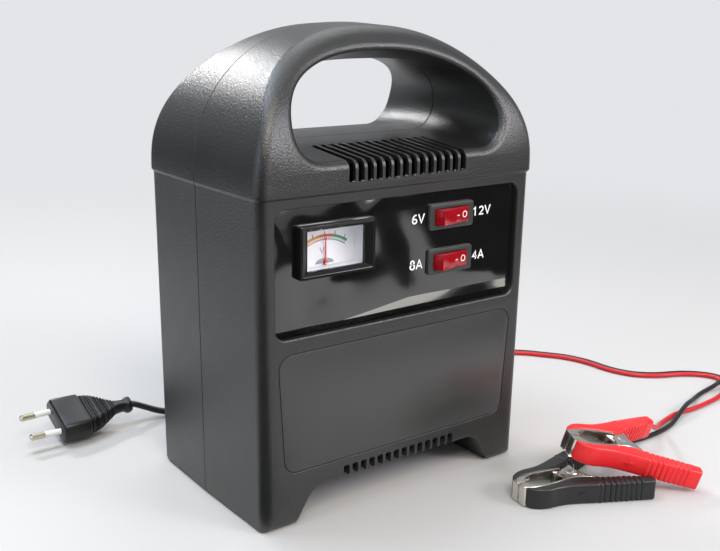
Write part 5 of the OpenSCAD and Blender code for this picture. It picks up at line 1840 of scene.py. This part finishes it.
@dataclass
class Clamp:
    """Battery clamp: two sheathed arms on a rivet, plated jaws and a torsion spring.

    It is drawn with its jaw tips at the origin, the handles towards +X and the rivet along Z.
    """

    colour: str
    pose: Pose
    half: float = 6.0
    pivot: float = 33.0
    splay: float = 18.8
    handle: float = 37.0
    pin: float = 1.6
    sheet: float = 1.2
    wire: float = 0.9
    made: list[object] = field(default_factory=list)

    def on_handle(self, u: Array, v: Array) -> Array:
        """Point u along the crowned outer edge of the handle and v inwards from it.

        Args:
            u: Distances along the edge.
            v: Distances inwards.

        Returns:
            Points x 2.
        """
        u, v = np.broadcast_arrays(np.asarray(u, float), np.asarray(v, float))
        w = v - 0.4 * (1 - ((u - self.handle / 2) / (self.handle / 2)) ** 2)
        c, s = math.cos(math.radians(self.splay)), math.sin(math.radians(self.splay))
        return np.stack([34 + u * c + w * s, 18.6 + u * s - w * c], axis=-1)

    def lead_entry(self) -> Array:
        """Where the lead meets the far handle."""
        p = self.on_handle(np.array(self.handle + 0.95), np.array(3.0))
        return self.pose.point([p[0], p[1], 0.0])

    def handle_way(self) -> Array:
        """Direction from the rivet along the far handle."""
        a = math.radians(self.splay)
        return self.pose.direction([math.cos(a), math.sin(a), 0.0])

    def outer_edge(self, count: int) -> Array:
        """Outer edge from tip to tail through its control points, without grooves.

        Args:
            count: Number of points.

        Returns:
            Points x 2.
        """
        lobe = np.array([[-0.6, 5.7], [1.6, 9.4], [5.5, 12.1], [10, 13.5], [15, 13.6], [21, 14.3], [28, 16.4]])
        along = np.array([0.0, 5.0, 12.0, 20.0, 28.0, 33.0, 35.8, 37.0])
        tail = self.on_handle(along, np.array([0, 0, 0, 0, 0, 0, 0.15, 1.3]))
        return resample(np.concatenate([lobe, tail]), count)

    def inner_edge(self, count: int) -> Array:
        """Inner edge from tip to tail.

        Args:
            count: Number of points.

        Returns:
            Points x 2.
        """
        pts = np.array(
            [
                [0.8, 5.6], [4, 7.4], [12, 7.9], [20, 7.7], [26, 6.9], [31, 6.6], [36.5, 8.2],
                [41, 10.6], [46, 13], [52, 15.2], [60, 18.4], [66, 21.2], [71.4, 23.6],
            ]
        )
        return resample(pts, count)

    def grip(self, way: int, count: int = 230) -> Solid:
        """Sheath as a loft along the arm: each section a rounded box between both edges.

        Its seven grooves and its ring are a change of inset along the arm, so they run right round.

        Args:
            way: 1 for the far arm, -1 for the near arm.
            count: Stations along the arm.

        Returns:
            Placed solid.
        """
        outer, inner = self.outer_edge(count), self.inner_edge(count)
        length = np.concatenate([[0], np.cumsum(np.linalg.norm(np.diff(outer, axis=0), axis=1))])
        total = length[-1]
        from_tail = total - length
        cut = np.zeros(count)
        for k in range(7):
            cut += 0.62 * np.exp(-(((from_tail - 9.3 - 2.95 * k) / 0.42) ** 2))
        cut -= 0.4 * np.exp(-(((from_tail - 32.0) / 0.75) ** 2))
        cut += 0.5 * np.exp(-(((from_tail - 30.3) / 0.5) ** 2)) + 0.3 * np.exp(-(((from_tail - 33.6) / 0.5) ** 2))
        end = np.clip(length / 1.2, 0, 1)
        cut += 0.9 * (1 - np.sqrt(1 - (1 - end) ** 2))
        end = np.clip(from_tail / 1.8, 0, 1)
        cut += 1.3 * (1 - np.sqrt(1 - (1 - end) ** 2))
        belly = np.clip(length / 9.0, 0, 1)
        middle, arm = (outer + inner) / 2, (outer - inner) / 2
        reach = np.linalg.norm(arm, axis=1, keepdims=True)
        arm = arm / reach
        half_wide = np.maximum(reach[:, 0] - cut, 0.35)
        half_tall = self.half - 0.55 * (1 - belly) - np.maximum(cut, 0.0) * 0.9
        corner = np.minimum(2.0, half_wide * 0.6)
        turn = rounded_rect(2.0, 2.0, 1.0, (0, 0), 5)
        px, pz = (
            sign_of(t)[None] * (wide - corner)[:, None] + t[None] * corner[:, None]
            for t, wide in ((turn[:, 0], half_wide), (turn[:, 1], half_tall))
        )
        rings = np.concatenate([middle[:, None] + arm[:, None] * px[..., None], pz[..., None]], axis=-1)
        rings[..., 1] *= way
        return self.pose.place(loft(rings))

    def jaw(self, way: int, ear_z: float) -> Solid:
        """Plated sheet: a toothed jaw bent into a channel, with two ears on the rivet.

        Args:
            way: 1 for the far arm, -1 for the near arm.
            ear_z: Outer face of its ears.

        Returns:
            Placed solid.
        """
        strip = np.array([[-1.4, 5], [0.8, 5.6], [4, 7.4], [12, 7.9], [20, 7.7], [26, 6.9], [31, 6.6]], float)
        low = [[31, 5.4], [26, 5.7], [20, 6.4], [12, 6.6], [7.4, 5.4], [5.4, 3.4], [4.2, 0.6]]
        teeth = [[3.2, 0.3], [2.3, 0.95], [1.4, 0.3], [0.5, 0.95], [-0.4, 0.3], [-1.3, 0.6]]
        outline = np.concatenate([strip, low, teeth])[::-1]
        solids = [loft(eased_prism(outline, -5.4, 5.4, 0.15, 2))]
        ear = 4.6 * circle(40) + [self.pivot, 0.0]
        arm = np.array([[26, 6.9], [26.5, 4.5], [28.4, 0], [37.6, 0], [40, 6], [41, 10.6], [36.5, 8.2], [31, 6.6]])
        for z0 in (-ear_z, ear_z - self.sheet):
            solids.append(loft(eased_prism(ear, z0, z0 + self.sheet, 0.15, 2)))
            solids.append(loft(eased_prism(arm, z0 + 0.01, z0 + self.sheet - 0.01, 0.1, 1)))
        verts, faces = join(*solids)
        verts = verts * [1, way, 1]
        return self.pose.place((verts, faces))

    def spring(self) -> Solid:
        """Torsion spring: 2.8 curls round the rivet, its legs against the two handles.

        Returns:
            Placed solid.
        """
        r, pitch = self.pin + 1.1, self.wire + 0.45
        leg = math.hypot(13, 12)
        a0 = math.acos(r / leg) - math.atan2(12, 13)
        turns = 3 - a0 / math.pi
        s = np.linspace(0, turns, 90)
        a = a0 + s * 2 * math.pi
        z0 = -pitch * turns / 2
        curl = np.column_stack([self.pivot + r * np.cos(a), r * np.sin(a), z0 + s * pitch])
        path = np.concatenate([[[self.pivot + 13, -12, z0]], curl, [[self.pivot + 13, 12, -z0]]])
        dense = resample3(path, 160)
        return self.pose.place(tube(dense, self.wire / 2, 12))

    def rivet(self) -> Solid:
        """Rivet: a shank with a low domed head at each end.

        Returns:
            Placed solid.
        """
        rows = [(0.02, -6.0), (1.6, -5.98), (2.4, -5.85), (2.75, -5.6), (2.8, -5.42), (self.pin, -5.4)]
        rows += [(r, -z) for r, z in rows[::-1]]
        rings = np.stack([np.insert(r * circle(40) + [self.pivot, 0.0], 2, z, axis=1) for r, z in rows])
        return self.pose.place(loft(rings))

    def emboss(self, way: int) -> Solid:
        """Raised plus or minus on the broad outer wall of a grip.

        Args:
            way: 1 for the far arm, -1 for the near arm.

        Returns:
            Placed solid.
        """
        bars = [(4.6, 1.1)] + ([(1.1, 4.6)] if self.colour == "red" else [])
        a = math.radians(self.splay * 0.86)
        along, out = np.array([math.cos(a), math.sin(a), 0]), np.array([-math.sin(a), math.cos(a), 0])
        at, up = np.array([29.2, 16.9, 0.4]), np.array([0, 0, 1.0])
        solids = []
        for w, h in bars:
            rings = eased_prism(rounded_rect(w, h, 0.3, (0, 0), 3), -0.6, 0.42, 0.15, 2)
            solids.append(loft(at + rings[..., :1] * along + rings[..., 1:2] * up + rings[..., 2:] * out))
        verts, faces = join(*solids)
        return self.pose.place((verts * [1, way, 1], faces))

    def build(self) -> None:
        """Makes both arms, the rivet and the spring."""
        c = self.colour
        far, near = f"{c}_far_arm", "charger"
        add = self.made.append
        for side, way, body in (("near", -1, near), ("far", 1, far)):
            grip = make_mesh(f"{c}_{side}_sheath", self.grip(way), angle=50)
            add(dress(grip, f"{c}_pvc_grip", body, [f"{c}_{side}_grip"]))
            sign = make_mesh(f"{c}_{side}_polarity", self.emboss(way))
            add(dress(sign, f"{c}_pvc_grip", body))
            ear = 5.4 if side == "near" else 3.9
            jaw = make_mesh(f"{c}_{side}_jaw_sheet", self.jaw(way, ear), angle=30)
            add(dress(jaw, "nickel_plated_steel", body, [f"{c}_{side}_jaw"]))
        rivet = make_mesh(f"{c}_rivet", self.rivet(), angle=30)
        add(dress(rivet, "zinc_plated_steel", near, [f"{c}_pivot_pin"]))
        spring = make_mesh(f"{c}_torsion_spring", self.spring(), angle=60)
        add(dress(spring, "zinc_plated_steel", None, [f"{c}_spring"]))
        bend = self.pose.place((np.array([[self.pivot + 3.4, 3.2, 0.0], [self.pivot + 8.0, 7.4, 0.0]]), []))[0] * MM
        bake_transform(spring)


def sign_of(values: Array) -> Array:
    """Which side of the middle each point of a rounded box corner belongs to.

    The rounded box has four equal corners in order, so the sign goes by quarter.

    Args:
        values: One coordinate of the unit corner arcs.

    Returns:
        Signs, with the arc ends on the axes kept with their own corner.
    """
    n = len(values) // 4
    signs = np.empty(len(values))
    for k in range(4):
        part = values[k * n : (k + 1) * n]
        signs[k * n : (k + 1) * n] = 1.0 if part.sum() > 0 else -1.0
    return signs


def resample(points: Array, count: int) -> Array:
    """Smooth plane curve through points x 2, as count points at even steps of arc length."""
    flat = np.column_stack([points, np.zeros(len(points))])
    return resample3(smooth_path(flat, 12), count)[:, :2]


def resample3(points: Array, count: int) -> Array:
    """Polyline at even steps of arc length.

    Args:
        points: Points x 3.
        count: Number of points wanted.

    Returns:
        count x 3 points.
    """
    run = np.concatenate([[0], np.cumsum(np.linalg.norm(np.diff(points, axis=0), axis=1))])
    at = np.linspace(0, run[-1], count)
    return np.column_stack([np.interp(at, run, points[:, k]) for k in range(3)])


# Inside


@dataclass
class Works:
    """Nodes whose shape is right: they stay and get the finish of the real part."""

    finishes: tuple[tuple[str, tuple[str, ...]], ...] = (
        ("zinc_plated_steel", ("housing_screws", "transformer_screws", "heatsink_screws", "transformer_bracket")),
        ("polystyrene_window", ("meter_window",)),
        ("pale_case_styrene", ("meter_case",)),
        ("matt_dial_card", ("meter_dial",)),
        ("nickel_plated_steel", ("meter_movement", "rectifier_diodes")),
        ("yellow_brass", ("voltage_switch_terminals", "current_switch_terminals")),
        ("stacked_core_sheet", ("transformer_core",)),
        ("glass_filled_nylon", ("transformer_bobbin",)),
        ("enamelled_copper_wire", ("primary_winding", "secondary_winding")),
        ("mill_aluminium", ("heatsink_plate",)),
        ("phenolic_black", ("thermal_cutout",)),
        ("black_pvc_moulded", ("mains_strain_relief", "dc_strain_relief")),
        ("sleeve_nylon", ("plug_sleeves",)),
        ("nickel_plated_brass", ("plug_pins",)),
    )

    def build(self, nodes: dict[str, Piece]) -> None:
        """Puts each finish in its nodes' material slots.

        Args:
            nodes: The frame's nodes by name.
        """
        for finish_name, names in self.finishes:
            for name in names:
                obj = nodes[name]
                obj.data.materials.clear()
                obj.data.materials.append(finish(finish_name))
                log.info("%s keeps its shape in %s", name, finish_name)


# Stage


@dataclass
class Lamp:
    """Soft rectangular lamp aimed at a point, hidden from the camera."""

    name: str
    at: Place
    aim: Place
    size: Spot
    watts: float
    colour: str = "#ffffff"

    def build(self) -> None:
        """Adds the lamp."""
        data = bpy.data.lights.new(self.name, "AREA")
        data.shape = "RECTANGLE"
        data.size, data.size_y = self.size
        data.energy = self.watts
        data.color = linear(self.colour)[:3]
        lamp = bpy.data.objects.new(self.name, data)
        lamp.location = self.at
        lamp.rotation_euler = (Vector(self.aim) - Vector(self.at)).to_track_quat("-Z", "Y").to_euler()
        lamp.visible_camera = False
        bpy.context.scene.collection.objects.link(lamp)


@dataclass
class Studio:
    """Pale floor, pale surroundings, soft lamps and the camera."""

    backdrop: str = "#e3e5e8"
    floor: str = "#bebdbc"
    fill: float = 0.5
    azimuth: float = -36.759
    elevation: float = 15.054
    roll: float = 0.952
    lens: float = 50.49
    stand: Place = (-0.3221, -0.4484, 0.2593)
    haze_from: float = 0.35
    haze_to: float = 1.1
    lamps: tuple[Lamp, ...] = (
        Lamp("key", (0.6, 0.6, 1.45), (0.0, 0.0, 0.1), (0.8, 0.8), 5.0),
        Lamp("shoulder_light", (-0.1, 1.4, 1.06), (0.0, 0.0, 0.2), (0.32, 0.2), 13.0),
        Lamp("overhead", (-0.45, 0.0, 1.5), (0.0, 0.0, 0.15), (1.2, 0.9), 5.0),
        Lamp("side_sheen", (-0.35, 0.3, 1.2), (-0.2, 0.15, 0.0), (0.4, 0.3), 5.0, "#c6dcf4"),
        Lamp("left_fill", (-1.6, -0.2, 0.7), (0.0, 0.0, 0.12), (0.9, 0.9), 5.0, "#c6dcf4"),
        Lamp("pillar_sheen", (0.65, -1.21, 0.87), (0.0, 0.0, 0.2), (0.45, 0.35), 9.0, "#efecff"),
        Lamp("edge_card", (0.84, -1.18, 0.66), (0.0, 0.0, 0.15), (1.0, 0.6), 6.0, "#fffaf0"),
        Lamp("front_fill", (-0.35, -0.95, 1.2), (0.1, -0.15, 0.0), (0.6, 0.6), 13.0, "#fff8ea"),
    )

    def camera(self) -> None:
        """Camera at the object's left front, rolled by a degree, without blur."""
        az, el, roll = (math.radians(a) for a in (self.azimuth, self.elevation, self.roll))
        back = Vector((math.sin(az) * math.cos(el), -math.cos(az) * math.cos(el), math.sin(el)))
        right = Vector((math.cos(az), math.sin(az), 0.0))
        up = back.cross(right)
        r = math.cos(roll) * right + math.sin(roll) * up
        u = -math.sin(roll) * right + math.cos(roll) * up
        data = bpy.data.cameras.new("camera")
        data.sensor_width = 36.0
        data.lens = self.lens
        data.clip_start, data.clip_end = 0.01, 60.0
        cam = bpy.data.objects.new("camera", data)
        cam.matrix_world = Matrix.Translation(self.stand) @ Matrix((r, u, back)).transposed().to_4x4()
        bpy.context.scene.collection.objects.link(cam)
        bpy.context.scene.camera = cam

    def ground(self) -> None:
        """Round floor, wider than the view, that takes the shadow and turns to the backdrop further off."""
        sides, radii = 96, (200.0, 900.0, 3000.0, 16000.0)
        rings = np.stack([np.insert(r * circle(sides), 2, -0.05, axis=1) for r in radii])
        faces = band_faces(len(radii), sides) + [list(range(sides))]
        obj = make_mesh("ground", (rings.reshape(-1, 3), faces))
        values = {"Base Color": linear(self.floor), "Specular IOR Level": 0.08}
        material, tree, shader = new_material("pale_laminate_floor", values)
        where = add_node(tree, "TexCoord").outputs["Object"]
        cloud = add_node(tree, "TexNoise", {"Scale": 6.0, "Detail": 3.0}, {"Vector": where})
        spread = add_node(tree, "MapRange", {"To Min": 0.4, "To Max": 0.55}, {"Value": cloud})
        tree.links.new(spread.outputs["Result"], shader.inputs["Roughness"])
        far = add_node(tree, "VectorMath", {}, {0: where}, operation="LENGTH").outputs["Value"]
        reach = {"From Min": self.haze_from, "From Max": self.haze_to}
        haze = add_node(tree, "MapRange", reach, {"Value": far}, interpolation_type="SMOOTHSTEP")
        sweep = add_node(tree, "Emission", {"Color": linear(self.backdrop)})
        mix = add_node(tree, "MixShader", {}, {0: haze, 1: shader, 2: sweep})
        tree.links.new(mix.outputs[0], tree.nodes["Material Output"].inputs["Surface"])
        obj.data.materials.append(material)

    def flags(self) -> None:
        """Dark cards seen in reflections only: they give the film and the rims their contrast."""
        right = np.array([[900.0, -60, 0], [390, -250, 0], [350, -480, 0], [40, -520, 0]])
        near = np.array([[-250.0, -930, 0], [-900, -420, 0]])
        rear = np.array([[-750.0, 420, 0], [-180, 700, 0]])
        rows = [(right, [0, 0, 150]), (near, [0, -60, 900]), (rear, [0, 0, 260])]
        lying = np.array([[-105.0, -40], [-400, 30], [-900, 120], [-900, -900], [-60, -900], [-60, -90]])
        lying = np.insert(lying, 2, 2.0, axis=1)
        verts, quads = [], []
        for foot, rise in rows:
            start = sum(map(len, verts))
            verts += [foot, foot + rise]
            n = len(foot)
            quads += [[start + i, start + i + 1, start + i + 1 + n, start + i + n] for i in range(n - 1)]
        quads.append([sum(map(len, verts)) + i for i in range(len(lying))])
        verts = np.concatenate(verts + [lying])
        obj = make_mesh("flags", (verts, quads))
        values = {"Base Color": linear("#0a0a0a"), "Roughness": 0.9}
        obj.data.materials.append(new_material("black_flock_card", values)[0])
        for ray in ("camera", "diffuse", "transmission", "shadow", "volume_scatter"):
            setattr(obj, f"visible_{ray}", False)

    def surroundings(self) -> None:
        """World: soft grey light, and the pale backdrop for camera rays and rays through glass."""
        world = bpy.data.worlds.new("studio")
        bpy.context.scene.world = world
        world.use_nodes = True
        tree = world.node_tree
        tree.nodes.clear()
        path = add_node(tree, "LightPath")
        rays = {0: path.outputs["Is Camera Ray"], 1: path.outputs["Is Transmission Ray"]}
        seen = add_node(tree, "Math", {}, rays, operation="MAXIMUM")
        light = add_node(tree, "Background", {"Color": linear("#eef1f6"), "Strength": self.fill})
        shown = add_node(tree, "Background", {"Color": linear(self.backdrop), "Strength": 1.0})
        mix = add_node(tree, "MixShader", {}, {0: seen, 1: light, 2: shown})
        add_node(tree, "OutputWorld", {}, {"Surface": mix})

    def build(self) -> None:
        """Adds everything round the object."""
        self.camera()
        self.surroundings()
        self.ground()
        self.flags()
        for lamp in self.lamps:
            lamp.build()
        bpy.context.scene.view_settings.view_transform = "Standard"


def main(frame: dict) -> None:
    """Builds every sub-assembly in order.

    Args:
        frame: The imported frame.
    """
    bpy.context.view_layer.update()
    Studio().build()
    plug = Plug()
    plug_pieces = plug.build()
    clamps = {
        "black": Clamp("black", Pose((45.7, -103.7, 6.0), (0.0, 0.0, -8.8))),
        "red": Clamp("red", Pose((81.5, -104.7, 26.1), (9.8, 11.9, -17.5))),
    }
    for clamp in clamps.values():
        clamp.build()
    cords = Cords()
    cords.mains(plug.tail(), plug_pieces)
    coil = cords.twin()
    cords.singles(coil, clamps)
    Housing().build()
    Label().build()
    Panel().build()
    Meter().build()
    Switch("voltage", VOLTAGE_Z).build()
    Switch("current", CURRENT_Z).build()
    Works().build(frame["nodes"])


if __name__ == "__main__":
    logging.basicConfig(level=logging.INFO, format="%(name)s: %(message)s")
    main(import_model())
